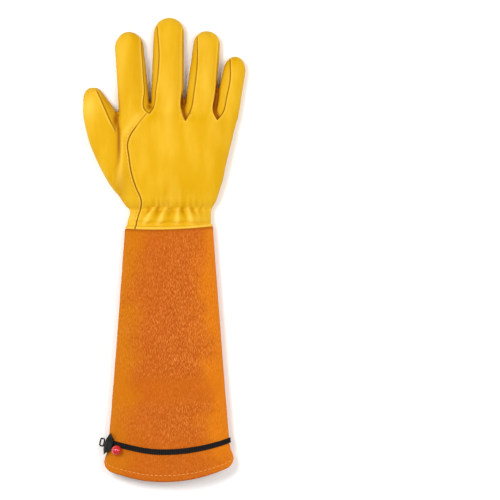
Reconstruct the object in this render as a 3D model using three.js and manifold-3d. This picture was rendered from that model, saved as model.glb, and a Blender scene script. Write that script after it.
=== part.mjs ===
// A long leather gardening glove, lying palm down, with its fingers towards +Y.
// Lengths are millimetres. The hand is a hollow form of soft leather, cut into the panels that a
// glover sews together. The cuff is a suede tube that carries a strap with a clasp and a bead.

import * as THREE from "three";
import { mergeVertices } from "three/addons/utils/BufferGeometryUtils.js";
import Module from "manifold-3d";

const wasm = await Module();
wasm.setup();

// Leather and seams.
const HAND_WALL = 1.5;
const CUFF_WALL = 1.9;
const SEAM_GAP = 0.3;

// The hand, measured as it lies. X = 0 is the middle of the wrist and Y = 0 is the cuff seam.
const WRIST_LENGTH = 27;
const WRIST_WIDTH = 79;
const WRIST_HEIGHT = 20;
const PALM_LENGTH = 85;
const PALM_WIDTH = 119;
const PALM_HEIGHT = 28;
const WEB_REACH = 16;
const FINGER_HEIGHT = 19.5;
const THUMB_HEIGHT = 22;
const THUMB_WIDTH = 36;
const THUMB_REACH = 30;
const SIDE_SEAM_HEIGHT = 10;

// Each finger: its length past the knuckles, its width there, where it leaves the palm as a share
// of the palm's width, how far it leans to +X in degrees, its width below the tip as a share of its
// width, and how long its rounded tip is as a share of its width.
const INDEX_LENGTH = 85.8;
const INDEX_WIDTH = 31.5;
const MIDDLE_LENGTH = 99.5;
const MIDDLE_WIDTH = 33;
const RING_LENGTH = 86.4;
const RING_WIDTH = 31.5;
const LITTLE_LENGTH = 61.5;
const LITTLE_WIDTH = 25.5;
const FINGERS = [
  { length: INDEX_LENGTH, width: INDEX_WIDTH, root: -0.287, lean: -4.6, taper: 0.88, tip: 0.5 },
  { length: MIDDLE_LENGTH, width: MIDDLE_WIDTH, root: -0.018, lean: 1.4, taper: 0.9, tip: 0.5 },
  { length: RING_LENGTH, width: RING_WIDTH, root: 0.254, lean: 5.9, taper: 0.82, tip: 0.42 },
  { length: LITTLE_LENGTH, width: LITTLE_WIDTH, root: 0.474, lean: 11, taper: 0.84, tip: 0.6 },
];

// The suede cuff.
const CUFF_LENGTH = 252;
const CUFF_TOP_WIDTH = 88;
const CUFF_TOP_HEIGHT = 25;
const CUFF_HEM_WIDTH = 125;
const CUFF_HEM_HEIGHT = 31;
const HEM_FLARE = 2.2;
const HEM_SAG = 14;
const HEM_SKEW = 4;
const CUFF_OVERLAP = 8;

// The strap, its clasp and the bead.
const STRAP_WIDTH = 5.5;
const STRAP_THICKNESS = 1.5;
const STRAP_TO_HEM = 30;
const CLASP_LENGTH = 22;
const CLASP_HEIGHT = 13;
const CLASP_THICKNESS = 3.8;
const CLASP_LEAN = 11;
const TONGUE_WIDTH = 4.5;
const TONGUE_THICKNESS = 1.4;
const TONGUE_REACH = 14;
const LOOP_LENGTH = 9.5;
const LOOP_REACH = 5;
const LOOP_BAR = 1.9;
const LOOP_THICKNESS = 2.6;
const BEAD_DIAMETER = 9.5;

// How a section is drawn: the share of its height above its widest line, its squareness, and the
// number of sides above and below that line. A finger's root narrows inside the palm, and its tip
// rises off the surface as it rounds.
const CROWN_SHARE = 0.56;
const TUBE_SQUARENESS = 2.5;
const FINGER_SQUARENESS = 2.3;
const TUBE_UPPER_SIDES = 24;
const TUBE_LOWER_SIDES = 10;
const FINGER_UPPER_SIDES = 8;
const FINGER_LOWER_SIDES = 5;
const THUMB_UPPER_SIDES = 10;
const THUMB_LOWER_SIDES = 6;
const TIP_STEPS = 4;
const ROOT_DEPTH_SHARE = 0.2;
const ROOT_WIDTH_SHARE = 0.75;
const TIP_LIFT_SHARE = 0.25;
const TIP_HEIGHT_SHARE = 0.45;

// Wrist sections. along is a share of WRIST_LENGTH from the cuff seam, left and right are shares of
// WRIST_WIDTH from the hand's middle, and rise is a share of WRIST_HEIGHT.
const WRIST_SECTIONS = [
  { along: 0.1, left: -0.545, right: 0.545, rise: 1.1 },
  { along: 0.19, left: -0.53, right: 0.535, rise: 1.03 },
  { along: 0.36, left: -0.52, right: 0.53, rise: 1.13 },
  { along: 0.54, left: -0.497, right: 0.528, rise: 1.06 },
  { along: 0.72, left: -0.5, right: 0.535, rise: 0.92 },
  { along: 0.85, left: -0.545, right: 0.56, rise: 1.04 },
  { along: 1.0, left: -0.583, right: 0.592, rise: 1.16 },
];

// Palm sections, with the same columns as shares of PALM_LENGTH, PALM_WIDTH and PALM_HEIGHT.
const PALM_SECTIONS = [
  { along: 0.094, left: -0.432, right: 0.418, rise: 0.89 },
  { along: 0.188, left: -0.48, right: 0.436, rise: 0.94 },
  { along: 0.329, left: -0.495, right: 0.467, rise: 0.98 },
  { along: 0.494, left: -0.466, right: 0.49, rise: 1.0 },
  { along: 0.647, left: -0.449, right: 0.517, rise: 0.99 },
  { along: 0.8, left: -0.441, right: 0.545, rise: 0.94 },
  { along: 0.988, left: -0.437, right: 0.57, rise: 0.82 },
];

// The web that closes the palm between the fingers. along is a share of WEB_REACH past the knuckles.
const WEB_SECTIONS = [
  { along: 0.44, left: -0.42, right: 0.553, rise: 0.66 },
  { along: 0.81, left: -0.386, right: 0.504, rise: 0.42 },
  { along: 1.0, left: -0.327, right: 0.437, rise: 0.2 },
];

// Thumb sections. along is a share of the way from its root to its tip, left and right are shares of
// THUMB_WIDTH from the line through the palm's thumb edge, and rise is a share of THUMB_HEIGHT.
const THUMB_SECTIONS = [
  { along: 0.0, left: -0.05, right: 0.4, rise: 0.86 },
  { along: 0.12, left: -0.3, right: 0.4, rise: 0.92 },
  { along: 0.23, left: -0.49, right: 0.36, rise: 0.97 },
  { along: 0.35, left: -0.65, right: 0.3, rise: 1.0 },
  { along: 0.47, left: -0.79, right: 0.24, rise: 1.0 },
  { along: 0.58, left: -0.88, right: 0.17, rise: 0.98 },
  { along: 0.7, left: -0.95, right: 0.05, rise: 0.95 },
  { along: 0.78, left: -0.975, right: -0.08, rise: 0.92 },
  { along: 0.855, left: -0.975, right: -0.24, rise: 0.88 },
  { along: 0.93, left: -0.95, right: -0.405, rise: 0.76 },
  { along: 0.972, left: -0.885, right: -0.49, rise: 0.6 },
  { along: 0.997, left: -0.8, right: -0.59, rise: 0.4 },
];

// Pleats that the wrist elastic draws into the back. across is the place on the elastic line and
// drift is how far the pleat wanders towards the seam, as shares of WRIST_WIDTH. above and below are
// its reaches as shares of WRIST_LENGTH, and depth is a share of WRIST_HEIGHT.
const ELASTIC_SHARE = 0.74;
const PLEAT_BREADTH = 0.045;
const PLEATS = [
  { across: -0.247, drift: -0.145, above: 0.6, below: 0.7, depth: 0.13 },
  { across: -0.106, drift: -0.11, above: 0.9, below: 0.75, depth: 0.19 },
  { across: 0.04, drift: -0.053, above: 1.1, below: 0.75, depth: 0.19 },
  { across: 0.173, drift: 0.016, above: 1.0, below: 0.75, depth: 0.19 },
  { across: 0.304, drift: 0.04, above: 0.9, below: 0.7, depth: 0.16 },
  { across: 0.411, drift: 0.03, above: 0.6, below: 0.6, depth: 0.11 },
];

// Where the back seam runs, from the crotch beside the index finger down to the wrist. Every along
// is a share of the hand's length up to the knuckles and every across a share of PALM_WIDTH.
const BACK_SEAM = [
  { along: 1.06, across: -0.164 },
  { along: 0.91, across: -0.275 },
  { along: 0.83, across: -0.325 },
  { along: 0.765, across: -0.344 },
  { along: 0.64, across: -0.333 },
  { along: 0.47, across: -0.306 },
  { along: 0.37, across: -0.276 },
  { along: 0.25, across: -0.231 },
  { along: 0.21, across: -0.231 },
  { along: 0.12, across: -0.256 },
  { along: 0.0, across: -0.283 },
];

// The strips between the fingers. Each seam lies in from the finger's edge by a share of the finger's
// width, at each of the given shares of its length. The seams meet at a crotch, a share of PALM_WIDTH
// across and a share of WEB_REACH past the knuckles.
const STRIP_FLOOR = 4;
const STRIP_SHARES = [0.06, 0.3, 0.6, 0.92];
const STRIPS = [
  {
    leftInsets: [0.13, 0.1, 0.07, 0.04],
    rightInsets: [0.13, 0.17, 0.2, 0.08],
    crotch: { across: -0.164, along: 0.25 },
  },
  {
    leftInsets: [0.04, 0.03, 0.03, 0.03],
    rightInsets: [0.24, 0.27, 0.22, 0.09],
    crotch: { across: 0.139, along: -0.24 },
  },
  {
    leftInsets: [0.04, 0.03, 0.03, 0.03],
    rightInsets: [0.27, 0.33, 0.3, 0.1],
    crotch: { across: 0.412, along: -0.19 },
  },
];

// Broad soft dents of the cuff: where each lies, how large it is and how deep, as shares of
// CUFF_LENGTH, of the local width and of CUFF_HEM_HEIGHT.
const CUFF_DENTS = [
  { along: 0.22, across: -0.35, length: 0.09, breadth: 0.3, depth: 0.05 },
  { along: 0.42, across: 0.3, length: 0.2, breadth: 0.25, depth: 0.06 },
  { along: 0.68, across: -0.3, length: 0.18, breadth: 0.22, depth: 0.05 },
];

// Lengths that follow from the sizes above.
const KNUCKLE_Y = WRIST_LENGTH + PALM_LENGTH;
const ELASTIC_Y = WRIST_LENGTH * ELASTIC_SHARE;
const THUMB_ROOT_Y = WRIST_LENGTH + PALM_LENGTH * 0.1;
const THUMB_TIP_Y = KNUCKLE_Y + THUMB_REACH;
const THUMB_EDGE_X = -PALM_WIDTH * 0.429;
const STRAP_SHARE = 1 - STRAP_TO_HEM / CUFF_LENGTH;
const STRAP_STEP = STRAP_THICKNESS + SEAM_GAP;
const TONGUE_CLEARANCE = SEAM_GAP * 1.5;
const TALLEST = Math.max(PALM_HEIGHT, CUFF_HEM_HEIGHT, CUFF_TOP_HEIGHT, WRIST_HEIGHT) * 2;
const FAR = HEM_SAG + CUFF_HEM_WIDTH + PALM_WIDTH + THUMB_WIDTH;

const mix = THREE.MathUtils.lerp;
const clamp = THREE.MathUtils.clamp;
const smooth = THREE.MathUtils.smoothstep;
const bell = (distance, breadth) => Math.exp(-((distance / breadth) ** 2));

// Turns a closed geometry into a solid that can be joined and cut.
function solidOf(geometry) {
  const bare = geometry.clone();
  bare.deleteAttribute("normal");
  bare.deleteAttribute("uv");
  const merged = mergeVertices(bare, 1e-5);
  const vertProperties = new Float32Array(merged.attributes.position.array);
  const triVerts = new Uint32Array(merged.index.array);
  return new wasm.Manifold(new wasm.Mesh({ numProp: 3, vertProperties, triVerts }));
}

// Turns a solid back into a geometry.
function geometryOf(solid) {
  const { vertProperties, triVerts } = solid.getMesh();
  const geometry = new THREE.BufferGeometry();
  geometry.setAttribute("position", new THREE.BufferAttribute(vertProperties, 3));
  geometry.setIndex(new THREE.BufferAttribute(triVerts, 1));
  geometry.computeVertexNormals();
  return geometry;
}

// A closed solid through rings that all have the same number of points, taken in the order in which
// they lie along Y. A fan closes each end.
function loft(givenRings) {
  const isForward = givenRings[0][0].y < givenRings.at(-1)[0].y;
  const rings = isForward ? givenRings : givenRings.toReversed();
  const sides = rings[0].length;
  const points = rings.flat();
  const faces = [];
  for (let row = 0; row + 1 < rings.length; row++) {
    for (let side = 0; side < sides; side++) {
      const here = row * sides + side;
      const beside = row * sides + ((side + 1) % sides);
      faces.push(here, here + sides, beside);
      faces.push(beside, here + sides, beside + sides);
    }
  }
  for (const [row, first, second] of [[0, 0, 1], [rings.length - 1, 1, 0]]) {
    const middle = new THREE.Vector3();
    rings[row].forEach((point) => middle.addScaledVector(point, 1 / sides));
    points.push(middle);
    for (let side = 0; side < sides; side++) {
      const pair = [row * sides + side, row * sides + ((side + 1) % sides)];
      faces.push(points.length - 1, pair[first], pair[second]);
    }
  }
  const geometry = new THREE.BufferGeometry().setFromPoints(points);
  geometry.setIndex(faces);
  return solidOf(geometry);
}

// One section of soft leather that lies on a surface: an oval whose underside is flattened at the
// section's floor. grow moves its whole outline outwards, and place puts each point into space.
function sectionRing({ left, right, height, floor = 0 }, shape, grow, place) {
  const middle = (left + right) / 2;
  const halfWidth = Math.max((right - left) / 2 + grow, 0.2);
  const halfHeight = Math.max(height * CROWN_SHARE + grow, 0.2);
  const centre = height * (1 - CROWN_SHARE);
  return shape.angles.map((angle) => {
    const across = Math.cos(angle);
    const isBack = angle <= Math.PI;
    const rise = (1 - Math.abs(across) ** shape.squareness) ** (1 / shape.squareness);
    const up = Math.max(centre + (isBack ? rise : -rise) * halfHeight, floor - grow);
    return place(middle + across * halfWidth, up, across, isBack);
  });
}

// The angles of a section's points: more of them on the rounded back than on the flat underside.
function sectionAngles(upperSides, lowerSides) {
  const upper = Array.from({ length: upperSides }, (_, side) => (side / upperSides) * Math.PI);
  const lower = Array.from({ length: lowerSides }, (_, side) => (side / lowerSides + 1) * Math.PI);
  return [...upper, ...lower];
}

const TUBE_SHAPE = {
  squareness: TUBE_SQUARENESS,
  angles: sectionAngles(TUBE_UPPER_SIDES, TUBE_LOWER_SIDES),
};
const FINGER_SHAPE = {
  squareness: FINGER_SQUARENESS,
  angles: sectionAngles(FINGER_UPPER_SIDES, FINGER_LOWER_SIDES),
};
const THUMB_SHAPE = {
  squareness: FINGER_SQUARENESS,
  angles: sectionAngles(THUMB_UPPER_SIDES, THUMB_LOWER_SIDES),
};

// How far the pleats draw the back down at a place on the hand.
function pleatDepth(x, y) {
  let depth = 0;
  for (const pleat of PLEATS) {
    const isAbove = y > ELASTIC_Y;
    const reach = WRIST_LENGTH * (isAbove ? pleat.above : pleat.below);
    const away = Math.min(Math.abs(y - ELASTIC_Y) / reach, 1);
    const drift = isAbove ? 0 : pleat.drift * away;
    const distance = x - WRIST_WIDTH * (pleat.across + drift);
    depth += WRIST_HEIGHT * pleat.depth * (1 - away) * bell(distance, WRIST_WIDTH * PLEAT_BREADTH);
  }
  return depth;
}

// The sections of the palm and wrist, from inside the cuff up to the web between the fingers. The
// hand's end lines the cuff's mouth, so it is the cuff's outline, tucked in by the wall and the gap.
function handSections() {
  const tail = {
    left: -CUFF_TOP_WIDTH / 2,
    right: CUFF_TOP_WIDTH / 2,
    height: CUFF_TOP_HEIGHT,
    tuck: CUFF_WALL + SEAM_GAP,
  };
  const sections = [
    { y: -CUFF_OVERLAP, ...tail },
    { y: SEAM_GAP, ...tail },
  ];
  const kinds = [
    [WRIST_SECTIONS, 0, WRIST_LENGTH, WRIST_WIDTH, WRIST_HEIGHT],
    [PALM_SECTIONS, WRIST_LENGTH, PALM_LENGTH, PALM_WIDTH, PALM_HEIGHT],
    [WEB_SECTIONS, KNUCKLE_Y, WEB_REACH, PALM_WIDTH, PALM_HEIGHT],
  ];
  for (const [table, start, length, width, height] of kinds) {
    for (const row of table) {
      const y = start + length * row.along;
      sections.push({ y, left: width * row.left, right: width * row.right, height: height * row.rise });
    }
  }
  return sections;
}

// The palm and wrist as one form. A form that is shrunk for the hollow also ends behind the web,
// and runs on past the open end in the cuff.
function palmForm(grow) {
  const rings = handSections().map((section, index) => {
    const closing = clamp((section.y - KNUCKLE_Y) / WEB_REACH, 0, 1);
    const opening = index === 0 ? Math.min(grow, 0) : 0;
    const y = section.y + grow * closing + opening;
    const outline = grow - (section.tuck ?? 0);
    return sectionRing(section, TUBE_SHAPE, outline, (x, z, across, isBack) => {
      const dent = isBack ? pleatDepth(x, y) : 0;
      return new THREE.Vector3(x, y, z - dent);
    });
  });
  return loft(rings);
}

// The middle line of a finger: a point at a length past the knuckles, and at a distance beside it.
function fingerPoint(finger, along, beside) {
  const lean = THREE.MathUtils.degToRad(finger.lean);
  const forward = new THREE.Vector2(Math.sin(lean), Math.cos(lean));
  const start = new THREE.Vector2(PALM_WIDTH * finger.root, KNUCKLE_Y);
  return start.addScaledVector(forward, along).add(
    new THREE.Vector2(forward.y, -forward.x).multiplyScalar(beside),
  );
}

// A finger's half width at a length past the knuckles, before its tip is rounded.
function fingerHalfWidth(finger, along) {
  return (finger.width / 2) * mix(1, finger.taper, clamp(along / finger.length, 0, 1));
}

// How far the underside of a finger is off the surface where it has shrunk to a share of its size.
function tipLift(height, share) {
  return height * TIP_LIFT_SHARE * (1 - share) ** 2;
}

// One finger, from its root inside the palm to its rounded tip.
function fingerForm(finger, grow) {
  const tipLength = finger.width * finger.tip;
  const straight = finger.length - tipLength;
  const rings = [];
  const addRing = (along, share) => {
    const half = fingerHalfWidth(finger, along) * share;
    const section = {
      left: -half,
      right: half,
      height: FINGER_HEIGHT * mix(TIP_HEIGHT_SHARE, 1, share),
      floor: tipLift(FINGER_HEIGHT, share),
    };
    const reach = along + grow * smooth(along, straight - tipLength, finger.length);
    rings.push(sectionRing(section, FINGER_SHAPE, grow, (beside, z) => {
      const point = fingerPoint(finger, reach, beside);
      return new THREE.Vector3(point.x, point.y, z);
    }));
  };
  addRing(-straight * ROOT_DEPTH_SHARE, ROOT_WIDTH_SHARE);
  for (const share of [0, 0.5, 1]) {
    addRing(straight * share, 1);
  }
  for (let step = 1; step <= TIP_STEPS; step++) {
    const angle = (step / (TIP_STEPS + 0.35)) * (Math.PI / 2);
    addRing(straight + tipLength * Math.sin(angle), Math.cos(angle));
  }
  return loft(rings);
}

// The thumb, from its root inside the palm to its tip.
function thumbForm(grow) {
  const rings = THUMB_SECTIONS.map((row) => {
    const y = mix(THUMB_ROOT_Y, THUMB_TIP_Y, row.along) + grow * smooth(row.along, 0.8, 1);
    const section = {
      left: THUMB_EDGE_X + THUMB_WIDTH * row.left,
      right: THUMB_EDGE_X + THUMB_WIDTH * row.right,
      height: THUMB_HEIGHT * row.rise,
      floor: tipLift(THUMB_HEIGHT, row.rise),
    };
    return sectionRing(section, THUMB_SHAPE, grow, (x, z) => new THREE.Vector3(x, y, z));
  });
  return loft(rings);
}

// The palm with its four fingers.
function handForm(grow) {
  return FINGERS.reduce((form, finger) => form.add(fingerForm(finger, grow)), palmForm(grow));
}

// How far the cuff's top dips at a share of its length and of its half width.
function cuffDip(share, across) {
  let dip = 0;
  for (const dent of CUFF_DENTS) {
    const near = bell(share - dent.along, dent.length) * bell(across - dent.across, dent.breadth);
    dip += CUFF_HEM_HEIGHT * dent.depth * near;
  }
  return dip;
}

// A ring of the cuff at a share of its length. Its line bows towards the hem and runs askew, and it
// flares out past the strap. Under the strap, it is lifted off the surface that it lies on.
function cuffRing(share, grow) {
  const flare = HEM_FLARE * smooth(share, STRAP_SHARE, 1);
  const half = mix(CUFF_TOP_WIDTH, CUFF_HEM_WIDTH, share) / 2 + flare;
  const strapDistance = Math.abs(share - STRAP_SHARE) * CUFF_LENGTH;
  const section = {
    left: -half,
    right: half,
    height: mix(CUFF_TOP_HEIGHT, CUFF_HEM_HEIGHT, share),
    floor: STRAP_STEP * (1 - smooth(strapDistance, STRAP_WIDTH, STRAP_WIDTH * 2)),
  };
  return sectionRing(section, TUBE_SHAPE, grow, (x, z, across, isBack) => {
    const bow = HEM_SAG * share ** 3 * across ** 2 + (HEM_SKEW / 2) * share * across;
    return new THREE.Vector3(x, bow - CUFF_LENGTH * share, z - (isBack ? cuffDip(share, across) : 0));
  });
}

// The shares of the cuff's length where its rings lie, closer together beside the strap.
function cuffShares() {
  const step = STRAP_WIDTH / CUFF_LENGTH;
  const strapShares = [-2, -1, 1, 2].map((steps) => STRAP_SHARE + steps * step);
  return [0, 0.13, 0.25, 0.42, 0.6, 0.76, ...strapShares, 1];
}

// An anticlockwise outline with each of its edges moved outwards.
function grownOutline(outline, grow) {
  return outline.map((point, index) => {
    const arriving = point.clone().sub(outline.at(index - 1)).normalize();
    const leaving = outline[(index + 1) % outline.length].clone().sub(point).normalize();
    const outward = new THREE.Vector2(arriving.y + leaving.y, -arriving.x - leaving.x);
    return point.clone().addScaledVector(outward, grow / (1 + arriving.dot(leaving)));
  });
}

// A plate with straight sides over an outline, from one height up to another.
function prism(outline, bottom, top, grow = 0) {
  const geometry = new THREE.ExtrudeGeometry(new THREE.Shape(grownOutline(outline, grow)), {
    depth: top - bottom + grow,
    bevelEnabled: false,
  });
  return solidOf(geometry.translate(0, 0, bottom - grow));
}

// The space above the back panel: all that lies beside the back seam, down to the side seam.
function backPanelSpace(grow) {
  const seam = BACK_SEAM.map(({ along, across }) => {
    return new THREE.Vector2(PALM_WIDTH * across, KNUCKLE_Y * along);
  });
  const [index, middle] = FINGERS;
  const gapTop = fingerPoint(index, index.length, index.width / 2)
    .add(fingerPoint(middle, index.length, -middle.width / 2))
    .multiplyScalar(0.5);
  const outline = [
    new THREE.Vector2(gapTop.x, FAR + KNUCKLE_Y),
    gapTop,
    ...seam,
    new THREE.Vector2(seam.at(-1).x, -CUFF_OVERLAP * 2),
    new THREE.Vector2(FAR, -CUFF_OVERLAP * 2),
    new THREE.Vector2(FAR, FAR + KNUCKLE_Y),
  ];
  return prism(outline, SIDE_SEAM_HEIGHT, TALLEST, grow);
}

// The space of the strip between two fingers: from the seam near the edge of one to the seam near
// the edge of the other, closed below where the two seams meet.
function fourchetteSpace(number, grow) {
  const { leftInsets, rightInsets, crotch } = STRIPS[number];
  const seam = (finger, insets, side) => STRIP_SHARES.map((share, index) => {
    const along = finger.length * share;
    const inset = finger.width * insets[index];
    return fingerPoint(finger, along, side * (fingerHalfWidth(finger, along) - inset));
  });
  const meeting = new THREE.Vector2(
    PALM_WIDTH * crotch.across,
    KNUCKLE_Y + WEB_REACH * crotch.along,
  );
  const leftSeam = seam(FINGERS[number], leftInsets, 1);
  const rightSeam = seam(FINGERS[number + 1], rightInsets, -1);
  return prism([...leftSeam.reverse(), meeting, ...rightSeam], STRIP_FLOOR, TALLEST, grow);
}

const halfGap = SEAM_GAP / 2;
const hollow = handForm(-HAND_WALL);
const thumbHollow = thumbForm(-HAND_WALL);
const handShell = handForm(0).subtract(hollow);
const fourchetteCuts = STRIPS.map((strip, number) => fourchetteSpace(number, halfGap));

function palmAndIndexPanel() {
  let panel = handShell.subtract(thumbHollow).subtract(backPanelSpace(halfGap));
  fourchetteCuts.forEach((cut) => (panel = panel.subtract(cut)));
  return panel;
}

function backPanel() {
  let panel = handShell.intersect(backPanelSpace(-halfGap));
  fourchetteCuts.forEach((cut) => (panel = panel.subtract(cut)));
  return panel;
}

function fourchette(number) {
  return handShell.intersect(fourchetteSpace(number, -halfGap));
}

function thumb() {
  return thumbForm(0).subtract(thumbHollow).subtract(handForm(SEAM_GAP)).subtract(hollow);
}

function cuff() {
  const shares = cuffShares();
  const past = CUFF_OVERLAP / CUFF_LENGTH;
  const outer = loft(shares.map((share) => cuffRing(share, 0)));
  const inner = loft([-past, ...shares, 1 + past].map((share) => cuffRing(share, -CUFF_WALL)));
  return outer.subtract(inner);
}

// A band of the given thickness that goes around the cuff between two shares of its length.
function bandAroundCuff(start, end, clearance, thickness) {
  const steps = [0, 0.5, 1].map((part) => mix(start, end, part));
  const past = STRAP_WIDTH / CUFF_LENGTH;
  const outer = loft(steps.map((share) => cuffRing(share, clearance + thickness)));
  const inner = loft([start - past, ...steps, end + past].map((share) => cuffRing(share, clearance)));
  return outer.subtract(inner);
}

const strapHalf = STRAP_WIDTH / 2 / CUFF_LENGTH;

function strap() {
  return bandAroundCuff(STRAP_SHARE - strapHalf, STRAP_SHARE + strapHalf, SEAM_GAP, STRAP_THICKNESS);
}

// The point where the strap turns round the thumb side edge of the cuff.
const strapEdge = cuffRing(STRAP_SHARE, 0).reduce((most, point) => (point.x < most.x ? point : most));
const claspLean = THREE.MathUtils.degToRad(CLASP_LEAN);

// Places a geometry that is drawn around the strap's edge, along the clasp.
function atClasp(geometry, x, y, z) {
  geometry.translate(x, y, z).rotateZ(-claspLean);
  return solidOf(geometry.translate(strapEdge.x, strapEdge.y, strapEdge.z));
}

// The whole cuff and the strap, grown by the seam gap, as the space that the clasp leaves free.
function cuffAndStrapSpace() {
  const clear = loft(cuffShares().map((share) => cuffRing(share, SEAM_GAP)));
  const step = SEAM_GAP / CUFF_LENGTH;
  const start = STRAP_SHARE - strapHalf - step;
  const end = STRAP_SHARE + strapHalf + step;
  const strapSpace = loft([start, end].map((share) => cuffRing(share, STRAP_STEP + SEAM_GAP)));
  return clear.add(strapSpace);
}

// A plate with round corners, drawn around the origin.
function roundedPlate(width, length, radius, thickness) {
  const shape = new THREE.Shape();
  shape.moveTo(width / 2, -length / 2 + radius);
  shape.absarc(width / 2 - radius, length / 2 - radius, radius, 0, Math.PI / 2);
  shape.absarc(-width / 2 + radius, length / 2 - radius, radius, Math.PI / 2, Math.PI);
  shape.absarc(-width / 2 + radius, -length / 2 + radius, radius, Math.PI, 1.5 * Math.PI);
  shape.absarc(width / 2 - radius, -length / 2 + radius, radius, 1.5 * Math.PI, 2 * Math.PI);
  return { shape, extrude: { depth: thickness, bevelEnabled: false, curveSegments: 3 } };
}

// The tongue that lies on the cuff under the bead, beside the strap.
const tongueStart = STRAP_SHARE + strapHalf + (SEAM_GAP * 2) / CUFF_LENGTH;
const tongueEnd = tongueStart + TONGUE_WIDTH / CUFF_LENGTH;

function clasp() {
  const plate = roundedPlate(CLASP_THICKNESS * 2, CLASP_LENGTH, CLASP_THICKNESS * 0.6, CLASP_HEIGHT);
  const body = atClasp(
    new THREE.ExtrudeGeometry(plate.shape, plate.extrude),
    0,
    0,
    -CLASP_HEIGHT / 2,
  );
  const reach = strapEdge.x + TONGUE_REACH;
  const side = prism(
    [
      new THREE.Vector2(strapEdge.x - FAR, strapEdge.y - FAR),
      new THREE.Vector2(reach, strapEdge.y - FAR),
      new THREE.Vector2(reach, strapEdge.y + FAR),
      new THREE.Vector2(strapEdge.x - FAR, strapEdge.y + FAR),
    ],
    strapEdge.z,
    TALLEST,
  );
  const tongue = bandAroundCuff(tongueStart, tongueEnd, TONGUE_CLEARANCE, TONGUE_THICKNESS);
  return body.subtract(cuffAndStrapSpace()).add(tongue.intersect(side));
}

function claspLoop() {
  const outer = roundedPlate(LOOP_REACH, LOOP_LENGTH, LOOP_BAR, LOOP_THICKNESS);
  const inner = roundedPlate(
    LOOP_REACH - LOOP_BAR * 1.6,
    LOOP_LENGTH - LOOP_BAR * 2,
    LOOP_BAR * 0.4,
    LOOP_THICKNESS,
  );
  outer.shape.holes.push(inner.shape);
  return atClasp(
    new THREE.ExtrudeGeometry(outer.shape, outer.extrude),
    -CLASP_THICKNESS - SEAM_GAP - LOOP_REACH / 2,
    0,
    -LOOP_THICKNESS / 2,
  );
}

// The bead stands on the tongue, so its centre is found from the highest point below it.
function bead() {
  const radius = BEAD_DIAMETER / 2;
  const share = (tongueStart + tongueEnd) / 2;
  const seatX = strapEdge.x + TONGUE_REACH - radius;
  const ring = cuffRing(share, TONGUE_CLEARANCE + TONGUE_THICKNESS);
  const seat = ring.reduce((best, point) => {
    const isCloser = Math.abs(point.x - seatX) < Math.abs(best.x - seatX);
    return point.z > strapEdge.z && isCloser ? point : best;
  });
  const ball = new THREE.SphereGeometry(radius, 14, 9).rotateX(Math.PI / 2);
  const tilt = Math.atan2(seat.z - strapEdge.z, TONGUE_REACH) / 2;
  const away = radius + SEAM_GAP;
  return solidOf(
    ball.translate(seat.x - away * Math.sin(tilt), seat.y, seat.z + away * Math.cos(tilt)),
  );
}

const GRAIN_LEATHER = { color: 0xf3b826, roughness: 0.55, metalness: 0 };
const SUEDE = { color: 0xcc671c, roughness: 0.95, metalness: 0 };
const ELASTIC_BAND = { color: 0x1b1a1b, roughness: 0.85, metalness: 0 };
const BLACK_PLASTIC = { color: 0x151415, roughness: 0.4, metalness: 0 };
const RED_PLASTIC = { color: 0xc4161f, roughness: 0.2, metalness: 0 };

const glove = new THREE.Group();

function addPiece(name, solid, finish) {
  const mesh = new THREE.Mesh(geometryOf(solid), new THREE.MeshStandardMaterial(finish));
  mesh.name = name;
  glove.add(mesh);
}

addPiece("palm_and_index_panel", palmAndIndexPanel(), GRAIN_LEATHER);
addPiece("back_panel", backPanel(), GRAIN_LEATHER);
addPiece("thumb", thumb(), GRAIN_LEATHER);
addPiece("fourchette_index_middle", fourchette(0), GRAIN_LEATHER);
addPiece("fourchette_middle_ring", fourchette(1), GRAIN_LEATHER);
addPiece("fourchette_ring_little", fourchette(2), GRAIN_LEATHER);
addPiece("cuff", cuff(), SUEDE);
addPiece("strap", strap(), ELASTIC_BAND);
addPiece("clasp", clasp(), BLACK_PLASTIC);
addPiece("clasp_loop", claspLoop(), BLACK_PLASTIC);
addPiece("bead", bead(), RED_PLASTIC);

// The origin is under the middle of the glove, on the surface that it lies on.
const box = new THREE.Box3().setFromObject(glove, true);
glove.position.set(-(box.min.x + box.max.x) / 2, -(box.min.y + box.max.y) / 2, -box.min.z);

export default glove;
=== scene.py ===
# %% [markdown]
# # A leather gardening glove
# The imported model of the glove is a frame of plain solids. This lesson lays finished pieces over it:
# sewn leather with grain and seams, a napped suede cuff, a woven strap and moulded fittings.
# The frame is loaded first, because every piece has to lie where its solid lies.

# %% Load the frame
import math

import bpy
import numpy as np
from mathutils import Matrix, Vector
from mathutils.bvhtree import BVHTree


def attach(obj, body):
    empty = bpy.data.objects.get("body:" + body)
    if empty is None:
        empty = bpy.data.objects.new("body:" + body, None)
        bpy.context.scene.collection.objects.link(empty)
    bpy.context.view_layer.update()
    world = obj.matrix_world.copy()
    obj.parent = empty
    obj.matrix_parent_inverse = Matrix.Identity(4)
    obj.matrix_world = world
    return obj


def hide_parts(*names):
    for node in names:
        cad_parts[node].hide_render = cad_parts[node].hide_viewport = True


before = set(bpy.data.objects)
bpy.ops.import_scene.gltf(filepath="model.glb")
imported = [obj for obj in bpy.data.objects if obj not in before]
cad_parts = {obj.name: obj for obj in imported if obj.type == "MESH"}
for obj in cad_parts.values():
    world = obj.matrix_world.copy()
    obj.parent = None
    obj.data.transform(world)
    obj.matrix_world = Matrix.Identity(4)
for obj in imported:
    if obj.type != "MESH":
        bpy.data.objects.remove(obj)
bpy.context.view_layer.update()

# %% [markdown]
# ## Sizes
# A glover works from a pattern with named widths and lengths. The same sizes shape the solids, so
# repeating them here keeps each finished piece on its solid. X = 0 is the middle of the wrist and
# Y = 0 is the cuff seam, in millimetres, and one shift at the end brings all into the frame.

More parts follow.
